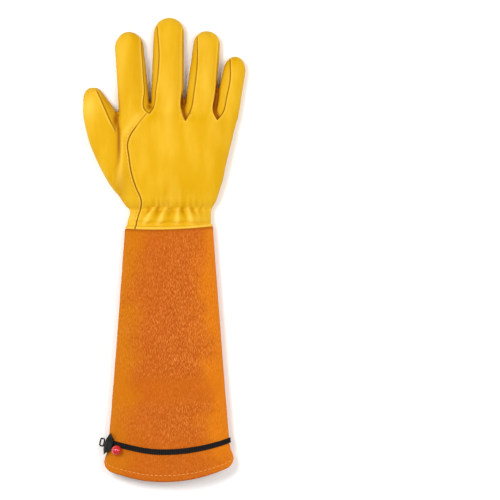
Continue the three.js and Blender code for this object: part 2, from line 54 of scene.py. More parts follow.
# %% Sizes of the hand and the cuff
MM = 0.001
SHIFT = np.array([4.8808, 20.3190, 0.0])
HAND_WALL = 1.5
CUFF_WALL = 1.9
SEAM_GAP = 0.3
WRIST_LENGTH, WRIST_WIDTH, WRIST_HEIGHT = 27, 79, 20
PALM_LENGTH, PALM_WIDTH, PALM_HEIGHT = 85, 119, 28
WEB_REACH = 16
KNUCKLE_Y = WRIST_LENGTH + PALM_LENGTH
FINGER_HEIGHT = 19.5
THUMB_HEIGHT, THUMB_WIDTH = 22, 36
THUMB_ROOT_Y = WRIST_LENGTH + PALM_LENGTH * 0.1
THUMB_TIP_Y = KNUCKLE_Y + 30
THUMB_EDGE_X = -PALM_WIDTH * 0.429
SIDE_SEAM_HEIGHT = 10
CUFF_LENGTH = 252
CUFF_TOP_WIDTH, CUFF_TOP_HEIGHT = 88, 25
CUFF_HEM_WIDTH, CUFF_HEM_HEIGHT = 125, 31
HEM_FLARE = 2.2
HEM_SAG, HEM_SKEW = 14, 4
CUFF_OVERLAP = 8
LEAST_HEIGHT, LEAST_INSIDE_HEIGHT = 0.02, 0.5
STRAP_WIDTH, STRAP_THICKNESS = 5.5, 1.5
STRAP_SHARE = 1 - 30 / CUFF_LENGTH
CROWN_SHARE = 0.56
TUBE_SQUARENESS = 2.5
FINGER_SQUARENESS = 2.3

# Each finger: length, width, place of its root as a share of the palm's width, lean in degrees,
# taper, and the length of its rounded tip as a share of its width.
FINGERS = [
    (85.8, 31.5, -0.287, -4.6, 0.88, 0.5),
    (99.5, 33.0, -0.018, 1.4, 0.90, 0.5),
    (86.4, 31.5, 0.254, 5.9, 0.82, 0.42),
    (61.5, 25.5, 0.474, 11.0, 0.84, 0.6),
]

# Sections of the wrist, palm, web and thumb: along, left, right and rise, as shares of the sizes.
WRIST_SECTIONS = [
    (0.1, -0.545, 0.545, 1.1), (0.19, -0.53, 0.535, 1.03), (0.36, -0.52, 0.53, 1.13),
    (0.54, -0.497, 0.528, 1.06), (0.72, -0.5, 0.535, 0.92), (0.85, -0.545, 0.56, 1.04),
    (1.0, -0.583, 0.592, 1.16),
]
PALM_SECTIONS = [
    (0.094, -0.432, 0.418, 0.89), (0.188, -0.48, 0.436, 0.94), (0.329, -0.495, 0.467, 0.98),
    (0.494, -0.466, 0.49, 1.0), (0.647, -0.449, 0.517, 0.99), (0.8, -0.441, 0.545, 0.94),
    (0.988, -0.437, 0.57, 0.82),
]
WEB_SECTIONS = [(0.44, -0.42, 0.553, 0.66), (0.81, -0.386, 0.504, 0.42), (1.0, -0.327, 0.437, 0.2)]
THUMB_SECTIONS = [
    (0.0, -0.05, 0.4, 0.86), (0.12, -0.3, 0.4, 0.92), (0.23, -0.49, 0.36, 0.97),
    (0.35, -0.65, 0.3, 1.0), (0.47, -0.79, 0.24, 1.0), (0.58, -0.88, 0.17, 0.98),
    (0.7, -0.95, 0.05, 0.95), (0.78, -0.975, -0.08, 0.92), (0.855, -0.975, -0.24, 0.88),
    (0.93, -0.95, -0.405, 0.76), (0.972, -0.885, -0.49, 0.6), (0.997, -0.8, -0.59, 0.4),
]
print("Hand from cuff seam to middle fingertip:", KNUCKLE_Y + FINGERS[1][0], "mm")

# %% [markdown]
# ## Small tools for curves
# Leather has no corners, so every table is read as a smooth curve. Soft unevenness comes from a sum
# of waves with a fixed seed: it is smooth, quick for many points, and the same in every run.

# %% Curves, bells and ripples
def linear(colour):
    """An sRGB hex colour as linear red, green, blue and alpha."""
    shares = [int(colour[i:i + 2], 16) / 255 for i in (1, 3, 5)]
    return [s / 12.92 if s <= 0.04045 else ((s + 0.055) / 1.055) ** 2.4 for s in shares] + [1.0]


def bell(distance, breadth):
    return np.exp(-((distance / breadth) ** 2))


def smooth(value, start, end):
    share = np.clip((value - start) / (end - start), 0, 1)
    return share * share * (3 - 2 * share)


def through(places, values, at):
    """Reads a table as a smooth curve that passes through its values."""
    places, values = np.asarray(places, float), np.asarray(values, float)
    at = np.clip(at, places[0], places[-1])
    slopes = np.gradient(values, places, axis=0)
    cell = np.clip(np.searchsorted(places, at) - 1, 0, len(places) - 2)
    width = places[cell + 1] - places[cell]
    t = (at - places[cell]) / width
    if values.ndim > 1:
        width, t = width[:, None], t[:, None]
    start, end = values[cell], values[cell + 1]
    rise = (3 - 2 * t) * t * t
    lead = t * (1 - t) ** 2 * width * slopes[cell]
    trail = t * t * (1 - t) * width * slopes[cell + 1]
    return start + (end - start) * rise + lead - trail


def unit(vectors):
    return vectors / np.linalg.norm(vectors, axis=-1, keepdims=True)


def full_turn(sides):
    """The angles of a whole turn in equal steps."""
    return np.linspace(0, 2 * math.pi, sides, endpoint=False)


def lengths_along(line):
    """How far along a line each of its points is."""
    return np.concatenate([[0], np.cumsum(np.linalg.norm(np.diff(line, axis=0), axis=1))])


def ripple(points, wavelength, seed, waves=16):
    """Soft unevenness with a spread of about 1, made of waves in fixed random directions."""
    dice = np.random.default_rng(seed)
    turns = unit(dice.normal(size=(waves, 3)))
    turns *= 2 * math.pi / (wavelength * dice.uniform(0.7, 1.6, (waves, 1)))
    phases = dice.uniform(0, 2 * math.pi, waves)
    return np.sin(points @ turns.T + phases).sum(axis=-1) / math.sqrt(waves / 2)


print("Leather yellow in linear light:", [round(c, 3) for c in linear("#f3b826")])

# %% [markdown]
# ## From arrays to Blender pieces
# All shapes are worked out as arrays of points and triangles, and become a mesh in one step. Every
# piece then takes its material, rides on the glove's one body, and hides the solid it stands for.

# %% Make a piece
def mesh_object(name, points, faces, layers=None):
    """A smooth-shaded mesh from points in millimetres, already in the frame's axes."""
    mesh = bpy.data.meshes.new(name)
    faces = faces.tolist() if isinstance(faces, np.ndarray) else faces
    mesh.from_pydata((np.asarray(points) * MM).tolist(), [], faces)
    mesh.polygons.foreach_set("use_smooth", [True] * len(mesh.polygons))
    for layer, values in (layers or {}).items():
        attribute = mesh.attributes.new(layer, "FLOAT", "POINT")
        attribute.data.foreach_set("value", np.asarray(values, np.float32))
    mesh.update()
    piece = bpy.data.objects.new(name, mesh)
    bpy.context.scene.collection.objects.link(piece)
    return piece


def shape_of(piece):
    """Points in millimetres and triangles of a piece with its modifiers applied."""
    bpy.context.view_layer.update()
    evaluated = piece.evaluated_get(bpy.context.evaluated_depsgraph_get())
    mesh = evaluated.to_mesh()
    points = np.empty(len(mesh.vertices) * 3)
    mesh.vertices.foreach_get("co", points)
    mesh.calc_loop_triangles()
    triangles = np.empty(len(mesh.loop_triangles) * 3, int)
    mesh.loop_triangles.foreach_get("vertices", triangles)
    evaluated.to_mesh_clear()
    return points.reshape(-1, 3) / MM, triangles.reshape(-1, 3)


def finish_piece(piece, material, slot, *nodes):
    piece.data.materials.append(material)
    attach(piece, "root")
    if nodes:
        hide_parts(*nodes)
    print(piece.name, "has", sum(len(face.vertices) - 2 for face in piece.data.polygons), "triangles")
    return piece


# %% [markdown]
# ## The form of the hand
# A filled glove finger is a tube that lies flat underneath and arches above. Tubes for the palm, the
# fingers and the thumb could be joined with booleans, but their edges would stay sharp. Leather
# bridges such corners softly, so the tubes are joined by a voxel remesh and then relaxed.

# %% Sections and tubes
def section(left, right, height, floor, grow, squareness, angle):
    """X and Z of an oval that is flat on the surface it lies on, one row for each section."""
    left, right, height, floor, grow = (
        np.asarray(column, float)[..., None] for column in (left, right, height, floor, grow))
    across = np.cos(angle)
    arch = (1 - np.abs(across) ** squareness) ** (1 / squareness) * np.sign(np.sin(angle))
    half_width = np.maximum((right - left) / 2 + grow, 0.2)
    half_height = np.maximum(height * CROWN_SHARE + grow, 0.2)
    x = (left + right) / 2 + half_width * across
    z = np.maximum(height * (1 - CROWN_SHARE) + half_height * arch, floor - grow)
    return x, z


def grid_faces(rows, sides):
    """The faces of a skin that closes on itself both ways, one for each point."""
    index = np.arange(rows * sides).reshape(rows, sides)
    beside, below = np.roll(index, -1, axis=1), np.roll(index, -1, axis=0)
    return np.stack([index, beside, np.roll(beside, -1, axis=0), below], -1).reshape(-1, 4)


def tube(rings):
    """Points and faces of a closed tube through rings of points."""
    rows, sides = rings.shape[:2]
    first, last = np.arange(sides), np.arange(sides) + (rows - 1) * sides
    faces = grid_faces(rows, sides)[:-sides].tolist() + [first[::-1].tolist(), last.tolist()]
    return rings.reshape(-1, 3), faces


def joined(parts):
    """Several pairs of points and faces as one pair."""
    points, faces, base = [], [], 0
    for part_points, part_faces in parts:
        faces += [[int(corner) + base for corner in face] for face in part_faces]
        points.append(part_points)
        base += len(part_points)
    return np.vstack(points), faces


TUBE_SIDES = 112
around = full_turn(TUBE_SIDES)

# %% The palm's table and its tube
TUCK = CUFF_WALL + SEAM_GAP
hand_table = [(-CUFF_OVERLAP, -CUFF_TOP_WIDTH / 2, CUFF_TOP_WIDTH / 2, CUFF_TOP_HEIGHT, TUCK)]
hand_table.append((-0.5, *hand_table[0][1:]))
for table, start, length, width, height in (
        (WRIST_SECTIONS, 0, WRIST_LENGTH, WRIST_WIDTH, WRIST_HEIGHT),
        (PALM_SECTIONS, WRIST_LENGTH, PALM_LENGTH, PALM_WIDTH, PALM_HEIGHT),
        (WEB_SECTIONS, KNUCKLE_Y, WEB_REACH, PALM_WIDTH, PALM_HEIGHT)):
    for along, left, right, rise in table:
        hand_table.append((start + length * along, width * left, width * right, height * rise, 0))
hand_table = np.array(hand_table)


def palm_sections(y):
    """Left, right, height and tuck of the palm at each place along the hand."""
    return through(hand_table[:, 0], hand_table[:, 1:], y).T


def palm_tube():
    y = np.arange(hand_table[0, 0], hand_table[-1, 0], 1.2)
    left, right, height, tuck = palm_sections(y)
    x, z = section(left, right, height, 0 * y, -tuck, TUBE_SQUARENESS, around)
    return tube(np.stack([x, np.broadcast_to(y[:, None], x.shape), z], -1))


# %% The fingers' tubes
ROOT_DEPTH_SHARE, ROOT_WIDTH_SHARE = 0.2, 0.75
TIP_LIFT_SHARE, TIP_HEIGHT_SHARE = 0.25, 0.45


def finger_frame(finger):
    """Where a finger starts, the direction it runs in, and the direction to its right."""
    lean = math.radians(finger[3])
    start = np.array([PALM_WIDTH * finger[2], KNUCKLE_Y])
    forward = np.array([math.sin(lean), math.cos(lean)])
    return start, forward, np.array([forward[1], -forward[0]])


def finger_half_width(finger, along):
    length, width, _, _, taper, _ = finger
    return width / 2 * (1 + (taper - 1) * np.clip(along / length, 0, 1))


def finger_rows(finger):
    """Along, and the share of its size that the finger still has there."""
    length, width, _, _, _, tip = finger
    straight = length - width * tip
    steps = np.linspace(0, 0.96, 12) * math.pi / 2
    body = np.arange(0, straight, 2.0)
    rounded = straight + width * tip * np.sin(steps)
    along = np.concatenate([[-straight * ROOT_DEPTH_SHARE], body, rounded])
    share = np.concatenate([[ROOT_WIDTH_SHARE], np.ones(len(body)), np.cos(steps)])
    return along, share


def finger_tube(finger):
    along, share = finger_rows(finger)
    half = finger_half_width(finger, along) * share
    height = FINGER_HEIGHT * (TIP_HEIGHT_SHARE + (1 - TIP_HEIGHT_SHARE) * share)
    floor = FINGER_HEIGHT * TIP_LIFT_SHARE * (1 - share) ** 2
    beside, z = section(-half, half, height, floor, 0 * half, FINGER_SQUARENESS, around)
    start, forward, right = finger_frame(finger)
    flat = start + along[:, None, None] * forward + beside[..., None] * right
    return tube(np.concatenate([flat, z[..., None]], -1))


# %% The thumb's tube
thumb_table = np.array([
    (THUMB_ROOT_Y + (THUMB_TIP_Y - THUMB_ROOT_Y) * along, THUMB_EDGE_X + THUMB_WIDTH * left,
     THUMB_EDGE_X + THUMB_WIDTH * right, THUMB_HEIGHT * rise)
    for along, left, right, rise in THUMB_SECTIONS])


def thumb_sections(y):
    left, right, height = through(thumb_table[:, 0], thumb_table[:, 1:], y).T
    return left, right, height, THUMB_HEIGHT * TIP_LIFT_SHARE * (1 - height / THUMB_HEIGHT) ** 2


def thumb_tube():
    y = np.concatenate([np.arange(thumb_table[0, 0], thumb_table[-4, 0], 1.5),
                        np.linspace(thumb_table[-4, 0], thumb_table[-1, 0], 16)])
    left, right, height, floor = thumb_sections(y)
    x, z = section(left, right, height, floor, 0 * y, FINGER_SQUARENESS, around)
    return tube(np.stack([x, np.broadcast_to(y[:, None], x.shape), z], -1))


# %% Join the tubes with a voxel remesh
VOXEL = 0.95
KEPT_SHARE = 0.36
tubes = [palm_tube(), thumb_tube()] + [finger_tube(finger) for finger in FINGERS]
rough_hand = mesh_object("rough_hand", *joined(tubes))
remesh = rough_hand.modifiers.new("Join", "REMESH")
remesh.mode = "VOXEL"
remesh.voxel_size = VOXEL * MM
thin = rough_hand.modifiers.new("Thin", "DECIMATE")
thin.ratio = KEPT_SHARE
hand_points, hand_triangles = shape_of(rough_hand)
bpy.data.objects.remove(rough_hand)
print("The joined hand has", len(hand_triangles), "triangles")

# %% [markdown]
# ## Working on the hand's surface
# The remeshed surface is relaxed like wet leather over a form. Seams need finer triangles beside
# them and edges that follow them, so edges near a seam are halved and triangles are cut where a
# seam's field changes sign. A field is the distance to a line, negative on one side.

# %% Edges, normals and relaxing
def edges_of(triangles):
    """The edges, and for each triangle the numbers of its three edges."""
    pairs = np.sort(triangles[:, [[0, 1], [1, 2], [2, 0]]].reshape(-1, 2), axis=1)
    edges, number = np.unique(pairs, axis=0, return_inverse=True)
    return edges, number.reshape(-1, 3)


def normals_of(points, triangles):
    a, b, c = (points[triangles[:, i]] for i in range(3))
    face = np.cross(b - a, c - a)
    total = np.zeros_like(points)
    for corner in range(3):
        for axis in range(3):
            total[:, axis] += np.bincount(triangles[:, corner], face[:, axis], len(points))
    return total / np.maximum(np.linalg.norm(total, axis=1, keepdims=True), 1e-12)


def relax(points, triangles, rounds, amount):
    """Moves each point towards its neighbours' mean by amount, a number or one for each point."""
    edges, _ = edges_of(triangles)
    first, second = np.concatenate([edges, edges[:, ::-1]]).T
    count = np.maximum(np.bincount(first, minlength=len(points)), 1)
    points = points.copy()
    for _ in range(rounds):
        mean = np.stack([np.bincount(first, points[second, axis], len(points)) / count
                         for axis in range(3)], -1)
        points += (mean - points) * np.reshape(amount, (-1, 1))
    return points


# %% Split triangles
def split(points, triangles, edges, number, is_split, share):
    """Puts a point on each split edge, at a share of its length, and splits the triangles to match."""
    middle = np.full(len(edges), -1)
    middle[is_split] = len(points) + np.arange(is_split.sum())
    start, end = points[edges[is_split, 0]], points[edges[is_split, 1]]
    points = np.vstack([points, start + (end - start) * share[is_split, None]])
    cuts = middle[number]
    count = (cuts >= 0).sum(axis=1)
    whole, m = triangles[count == 3], cuts[count == 3]
    parts = [triangles[count == 0], m,
             np.stack([whole[:, 0], m[:, 0], m[:, 2]], 1),
             np.stack([m[:, 0], whole[:, 1], m[:, 1]], 1),
             np.stack([m[:, 2], m[:, 1], whole[:, 2]], 1)]
    for turn in range(3):
        once = (count == 1) & (cuts[:, turn] >= 0)
        a, b, c = np.roll(triangles[once], -turn, axis=1).T
        m = cuts[once, turn]
        parts += [np.stack([a, m, c], 1), np.stack([m, b, c], 1)]
        twice = (count == 2) & (cuts[:, turn] < 0)
        a, b, c = np.roll(triangles[twice], -turn, axis=1).T
        m, n = cuts[twice, (turn + 1) % 3], cuts[twice, (turn + 2) % 3]
        parts += [np.stack([a, b, m], 1), np.stack([a, m, n], 1), np.stack([n, m, c], 1)]
    return points, np.vstack(parts)


def refine(points, triangles, is_near):
    edges, number = edges_of(triangles)
    halves = np.full(len(edges), 0.5)
    return split(points, triangles, edges, number, is_near[edges].all(axis=1), halves)


def cut_along(points, triangles, field):
    """Cuts triangles where a field is zero. Points that are almost there are moved onto it first."""
    near_enough, step, least_steep = 0.16, 0.02, 0.25
    value = field(points)
    close = np.flatnonzero(np.abs(value) < near_enough)
    slope = np.stack([(field(points[close] + shift) - field(points[close] - shift)) / (2 * step)
                      for shift in np.eye(3) * step], -1)
    steep = np.maximum((slope ** 2).sum(axis=1, keepdims=True), least_steep)
    points[close] -= slope * value[close, None] / steep
    value[close] = 0
    edges, number = edges_of(triangles)
    start, end = value[edges[:, 0]], value[edges[:, 1]]
    crosses = start * end < 0
    share = np.where(crosses, start / np.where(crosses, start - end, 1), 0)
    return split(points, triangles, edges, number, crosses, share)


# %% [markdown]
# ## Where the seams run
# The glover cuts the back, the palm with the index finger, the thumb and three narrow strips between
# the fingers. Each panel's outline is a polygon seen from above, as it is in the solids.

# %% Fields of the panels
BACK_SEAM = np.array([
    (1.06, -0.164), (0.91, -0.275), (0.83, -0.325), (0.765, -0.344), (0.64, -0.333), (0.47, -0.306),
    (0.37, -0.276), (0.25, -0.231), (0.21, -0.231), (0.12, -0.256), (0.0, -0.283)])
STRIP_FLOOR = 4
FAR = 300
NEAR_FLOOR = 4
THUMB_SIDE_X, NOT_THUMB = -30, 9.0

# The strips between the fingers. Each seam lies in from the finger's edge by a share of its width, at
# STRIP_SHARES of its length, and the two meet at a crotch, given as in the solids.
STRIP_SHARES = np.array([0.06, 0.3, 0.6, 0.92])
STRIPS = [
    ((0.13, 0.1, 0.07, 0.04), (0.03, 0.14, 0.19, 0.08), (-0.165, 0.22)),
    ((0.04, 0.03, 0.03, 0.03), (0.2, 0.23, 0.21, 0.09), (0.139, -0.24)),
    ((0.04, 0.03, 0.03, 0.03), (0.37, 0.38, 0.36, 0.18), (0.408, -0.17)),
]


def line_distance(points, line):
    """How far each point is from a line of straight runs, seen from above."""
    best = np.full(len(points), np.inf)
    for start, end in zip(line[:-1], line[1:]):
        run = end - start
        share = np.clip((points[:, :2] - start) @ run / (run @ run), 0, 1)
        best = np.minimum(best, np.linalg.norm(points[:, :2] - start - share[:, None] * run, axis=1))
    return best


def outline_field(points, outline):
    """The distance to a closed outline seen from above, negative inside it."""
    inside = np.zeros(len(points), bool)
    x, y = points[:, 0], points[:, 1]
    for (x0, y0), (x1, y1) in zip(outline, np.roll(outline, -1, axis=0)):
        if y0 != y1:
            inside ^= ((y0 > y) != (y1 > y)) & (x < (x1 - x0) * (y - y0) / (y1 - y0) + x0)
    distance = line_distance(points, np.vstack([outline, outline[:1]]))
    return np.where(inside, -distance, distance)


def smooth_line(knots, step=1.8):
    """A smooth line through knots, with a point about every step."""
    knots = np.asarray(knots, float)
    lengths = lengths_along(knots)
    return through(lengths, knots, np.linspace(0, lengths[-1], int(lengths[-1] / step) + 2))


back_seam = smooth_line(BACK_SEAM[:, ::-1] * (PALM_WIDTH, KNUCKLE_Y))


def strip_seam(finger, side, insets):
    """One seam of a strip, along the left or the right side of a finger."""
    start, forward, right = finger_frame(finger)
    along = finger[0] * STRIP_SHARES
    beside = side * (finger_half_width(finger, along) - finger[1] * np.array(insets))
    return start + along[:, None] * forward + beside[:, None] * right


def strip_sides(number):
    """The two seams of a strip, as lines that meet at its crotch."""
    left_insets, right_insets, (across, along) = STRIPS[number]
    left = strip_seam(FINGERS[number], 1, left_insets)
    right = strip_seam(FINGERS[number + 1], -1, right_insets)
    crotch = np.array([PALM_WIDTH * across, KNUCKLE_Y + WEB_REACH * along])
    return smooth_line(np.vstack([left[::-1], crotch])), smooth_line(np.vstack([crotch, right]))


strip_lines = [strip_sides(number) for number in range(len(STRIPS))]
strip_outlines = [np.vstack([left, right[1:]]) for left, right in strip_lines]
start, forward, right = finger_frame(FINGERS[0])
index_corner = start + FINGERS[0][0] * forward + FINGERS[0][1] / 2 * right
start, forward, right = finger_frame(FINGERS[1])
middle_corner = start + FINGERS[0][0] * forward - FINGERS[1][1] / 2 * right
gap_top = (index_corner + middle_corner) / 2
back_outline = np.vstack([
    [(gap_top[0], FAR)], [gap_top], back_seam,
    [(back_seam[-1][0], -FAR), (FAR, -FAR), (FAR, FAR)]])


def panel_field(points, outline, floor):
    """The distance to a panel's edge, negative on the panel. Panels end at a floor height."""
    field = floor - points[:, 2]
    high = np.flatnonzero(field < NEAR_FLOOR)
    field[high] = np.maximum(field[high], outline_field(points[high], outline))
    return field


def strip_field(points, number):
    return panel_field(points, strip_outlines[number], STRIP_FLOOR)


def back_field(points):
    return panel_field(points, back_outline, SIDE_SEAM_HEIGHT)


def oval_field(x, z, left, right, height, squareness):
    """About how far a point is outside an oval section, negative inside."""
    half_width, half_height = (right - left) / 2, height * CROWN_SHARE
    across = np.abs(x - (left + right) / 2) / half_width
    up = np.abs(z - height * (1 - CROWN_SHARE)) / half_height
    return ((across ** squareness + up ** squareness) ** (1 / squareness) - 1) * half_height


def thumb_field(points):
    """Negative where the surface belongs to the thumb and not to the palm or the index finger."""
    x, y, z = points.T
    left, right, height, _ = palm_sections(y)
    palm = oval_field(x, z, left, right, height, TUBE_SQUARENESS)
    palm = np.where(y > KNUCKLE_Y, palm + (y - KNUCKLE_Y), palm)
    start, forward, beside = finger_frame(FINGERS[0])
    along, sideways = (points[:, :2] - start) @ forward, (points[:, :2] - start) @ beside
    half = finger_half_width(FINGERS[0], along)
    index = oval_field(sideways, z, -half, half, FINGER_HEIGHT, FINGER_SQUARENESS)
    index = np.where(along < 0, index - along, index)
    left, right, height, _ = thumb_sections(y)
    thumb = oval_field(x, z, left, right, height, FINGER_SQUARENESS)
    thumb = thumb + np.maximum(THUMB_ROOT_Y - y, 0)
    return np.where(x < THUMB_SIDE_X, thumb - np.minimum(palm, index), NOT_THUMB)


THUMB_SEAM = smooth_line([(-72.8, 140), (-69.3, 133), (-64.2, 121.4), (-57.3, 106.5), (-53.4, 99.8),
                          (-52.0, 96.0)])

# %% Relax, refine and cut the hand
SHRINK, REGROW, RELAX_ROUNDS = 0.5, -0.52, 5
SEAM_REACHES = (3.2, 1.3)
FINE_WRIST_Y = 46
FACES_UP = 0.1
THUMB_REACH_SHARE = 0.7
SIDE_Z = 3
for _ in range(RELAX_ROUNDS):
    hand_points = relax(hand_points, hand_triangles, 1, SHRINK)
    hand_points = relax(hand_points, hand_triangles, 1, REGROW)
knuckles = bell(hand_points[:, 1] - KNUCKLE_Y - 4, 12) * smooth(hand_points[:, 2], 12, 17)
hand_points = relax(hand_points, hand_triangles, 30, 0.5 * knuckles)


def seam_distance(points):
    """The distance to the nearest seam, seen from above or, at the side seam, from beside."""
    strips = np.stack([strip_field(points, number) for number in range(3)])
    back = np.where(strips.min(axis=0) < 0, FAR, np.abs(back_field(points)))
    return np.minimum(np.abs(strips).min(axis=0), back), strips, back


for reach in SEAM_REACHES:
    nearest, _, _ = seam_distance(hand_points)
    is_back = normals_of(hand_points, hand_triangles)[:, 2] > FACES_UP
    at_wrist = is_back & (hand_points[:, 1] < FINE_WRIST_Y) & (reach == SEAM_REACHES[0])
    near_thumb = np.abs(thumb_field(hand_points)) < reach * THUMB_REACH_SHARE
    near_thumb |= is_back & (line_distance(hand_points, THUMB_SEAM) < reach)
    seams = (nearest < reach) & (is_back | (hand_points[:, 2] > SIDE_Z))
    hand_points, hand_triangles = refine(hand_points, hand_triangles, seams | at_wrist | near_thumb)
    hand_points = relax(hand_points, hand_triangles, 2, 0.4)
fields = [thumb_field] + [lambda p, n=n: strip_field(p, n) for n in range(3)] + [back_field]
for field in fields:
    hand_points, hand_triangles = cut_along(hand_points, hand_triangles, field)
print("The cut hand has", len(hand_triangles), "triangles")

# %% [markdown]
# ## Folds and gathers
# A seam pulls the leather down into a groove, and its turned edge stands up beside it. The elastic
# in the wrist gathers the back: small creases run up from it and plump folds open below it. All of
# this could be painted as bump, but then the light would not fold with it, so points are moved.
# Painted shade in the grooves and valleys and painted highlights on the ridges are added as well.

# %% The gathered wrist
ELASTIC_Y = 20.5
GATHERS_BEGIN, GATHERS_END = (-31, -24), (36, 42)

# Creases above the elastic: where each starts, how long it is and how far its top leans over.
CREASES = [(-15, 14, 0.5), (-10, 22, -1.5), (-5.5, 17, 0.5), (-1, 24, 1.0), (8, 26, -0.5),
           (16, 19, 1.5), (22, 22, 0.5), (28, 15, 1.0), (33.5, 18, -0.5)]
CREASE_BREADTH, CREASE_DEPTH = 1.2, 0.8
RIDGE_OFFSET, RIDGE_BREADTH, RIDGE_HEIGHT = 3.0, 1.5, 0.5

# Ridges that open like petals below it: the place of each tip and foot, and its size. Notches
# lie between their tips: dents with painted shade in them.
PETAL_LENGTH, PETAL_BREADTH, PETAL_SPREAD, PETAL_HEIGHT = 18, 1.9, 4.3, 2.0
VALLEY_BREADTH, VALLEY_SPREAD, VALLEY_DEPTH = 0.8, 1.6, 0.8
NOTCH_BREADTH, NOTCH_LENGTH, NOTCH_DROP, NOTCH_DEPTH = 1.6, 2.4, 1.4, 1.0
PETALS = [(-14.8, -24.8, 1.0), (-3.2, -10.0, 1.0), (9.4, 9.0, 0.9), (19.2, 24.2, 0.9),
          (27.6, 31.0, 0.35), (34.6, 37.4, 0.2)]
NOTCHES = [-20.0, -11.2, 3.0, 13.2, 23.4, 31.5]


def gathers(x, y):
    """The height of the gathered leather at the wrist, the painted shade in its valleys and notches, and
    the painted highlights on its ridges.
    """
    reach = smooth(x, *GATHERS_BEGIN) * (1 - smooth(x, *GATHERS_END))
    up = y - ELASTIC_Y
    height, depth, painted_highlight = 0 * x, 0 * x, 0 * x
    for crease, length, lean in CREASES:
        above = smooth(up, -1.5, 1.5) * (1 - smooth(up, 0.1 * length, length)) * (0.75 - 0.01 * crease)
        middle = crease + lean * np.clip(up / length, 0, 1) ** 2
        valley = bell(x - middle, CREASE_BREADTH + 0.06 * np.maximum(up, 0)) * above
        ridge = bell(x - middle - RIDGE_OFFSET, RIDGE_BREADTH) * above
        height += RIDGE_HEIGHT * ridge - CREASE_DEPTH * valley
        # Painted shade in each crease's valley and painted highlight on the ridge beside it.
        depth += 0.12 * valley
        painted_highlight += 0.3 * ridge
    down = np.clip(-up / PETAL_LENGTH, 0, 1)
    below = smooth(-up, -1.5, 0.5)
    for tip, foot, size in PETALS:
        middle = tip + (foot - tip) * down ** 0.9
        breadth = PETAL_BREADTH + PETAL_SPREAD * down
        ridge = bell(x - middle, breadth) * (1 - 0.75 * smooth(down, 0.65, 1.0)) * below * size
        valley = bell(x - middle - 1.8 * breadth, VALLEY_BREADTH + VALLEY_SPREAD * down)
        valley = valley * (1 - smooth(down, 0.3, 0.9)) * below
        height += PETAL_HEIGHT * ridge - VALLEY_DEPTH * size * valley
        # Painted shade in the valley beside each petal, and painted highlight along its lit left side.
        depth += 0.16 * size * valley
        painted_highlight += 0.75 * bell(x - middle + 0.35 * breadth, 0.8 * breadth) * ridge
    for notch in NOTCHES:
        dip = bell(x - notch, NOTCH_BREADTH) * bell(up + NOTCH_DROP, NOTCH_LENGTH)
        dip = dip * (1 - 0.6 * smooth(notch, 20, 24))
        height -= NOTCH_DEPTH * dip
        # Painted shade in each notch.
        depth += 0.25 * dip
    return height * reach, depth * reach, painted_highlight * reach


def stroke(points, line, breadth, height):
    """A narrow groove or ridge on the upper side along a line, fading out towards its ends."""
    ends = np.minimum(np.linalg.norm(points[:, :2] - line[0], axis=1),
                      np.linalg.norm(points[:, :2] - line[-1], axis=1))
    return height * bell(line_distance(points, line), breadth) * smooth(ends, 0, 4) * (points[:, 2] > 6)


def cuff_edge(across):
    """How far the cuff's upper edge wanders along the hand."""
    return -1.4 + 1.2 * across + 1.9 * across ** 2


def crease_at_thumb(points):
    """1 in the crease where the palm's round edge lies over the thumb, fading towards its ends."""
    x, y, z = points.T
    return smooth(y, 34, 70) * (1 - smooth(y, 108, 122)) * smooth(z, 4, 9)


# %% How far each point of the hand is moved
GAP_BOTTOMS = [126, 131, 142]
GROOVE_BREADTH, GROOVE_DEPTH = 0.45, 1.1
EDGE_OFFSET, EDGE_BREADTH, BACK_EDGE, PALM_EDGE = 1.4, 0.8, 0.45, 0.55
FOLD_OFFSET, FOLD_BREADTH, FOLD_HEIGHT = 5.5, 3.5, 0.9
CORNER_DEPTH, CORNER_OFFSET, CORNER_BREADTH = 2.4, 1.8, 2.2
LIP_OFFSET, LIP_BREADTH, LIP_HEIGHT = 2.1, 1.6, 0.85
WELT_SHIFT, THUMB_STRIP_SHIFT = (-1.7, -0.4), (4.2, 1.0)
INDEX_CROTCH, THUMB_WEB, THUMB_TOP, WRIST_SIDE = (-19.4, 121.5), (-52.4, 109), (-81, 122), (-37, 11)

# Places with painted highlights and places with painted shade: where, how broad, how long and how
# strong.
PAINTED_HIGHLIGHT_PLACES = [(-50, 165, 5, 45, 0.2), (1, 122, 6, 30, 0.22), (37, 160, 5, 36, 0.15)]
PAINTED_SHADE_PLACES = [(-31, 165, 6, 40, 0.13), (10, 165, 5, 40, 0.05), (6, 38, 20, 14, 0.08),
               (54, 90, 14, 40, 0.06), (-48, 46, 8, 15, 0.28), (35, 11, 8, 8, 0.1)]


def places(x, y, rows):
    """The strongest of several soft oval places at each point."""
    return np.maximum.reduce([strength * bell(x - middle_x, breadth) * bell(y - middle_y, length)
                              for middle_x, middle_y, breadth, length, strength in rows])


def around_place(x, y, place, stretch, breadth):
    """A soft oval round a place, stretched along the hand."""
    return bell(np.hypot(x - place[0], (y - place[1]) / stretch), breadth)


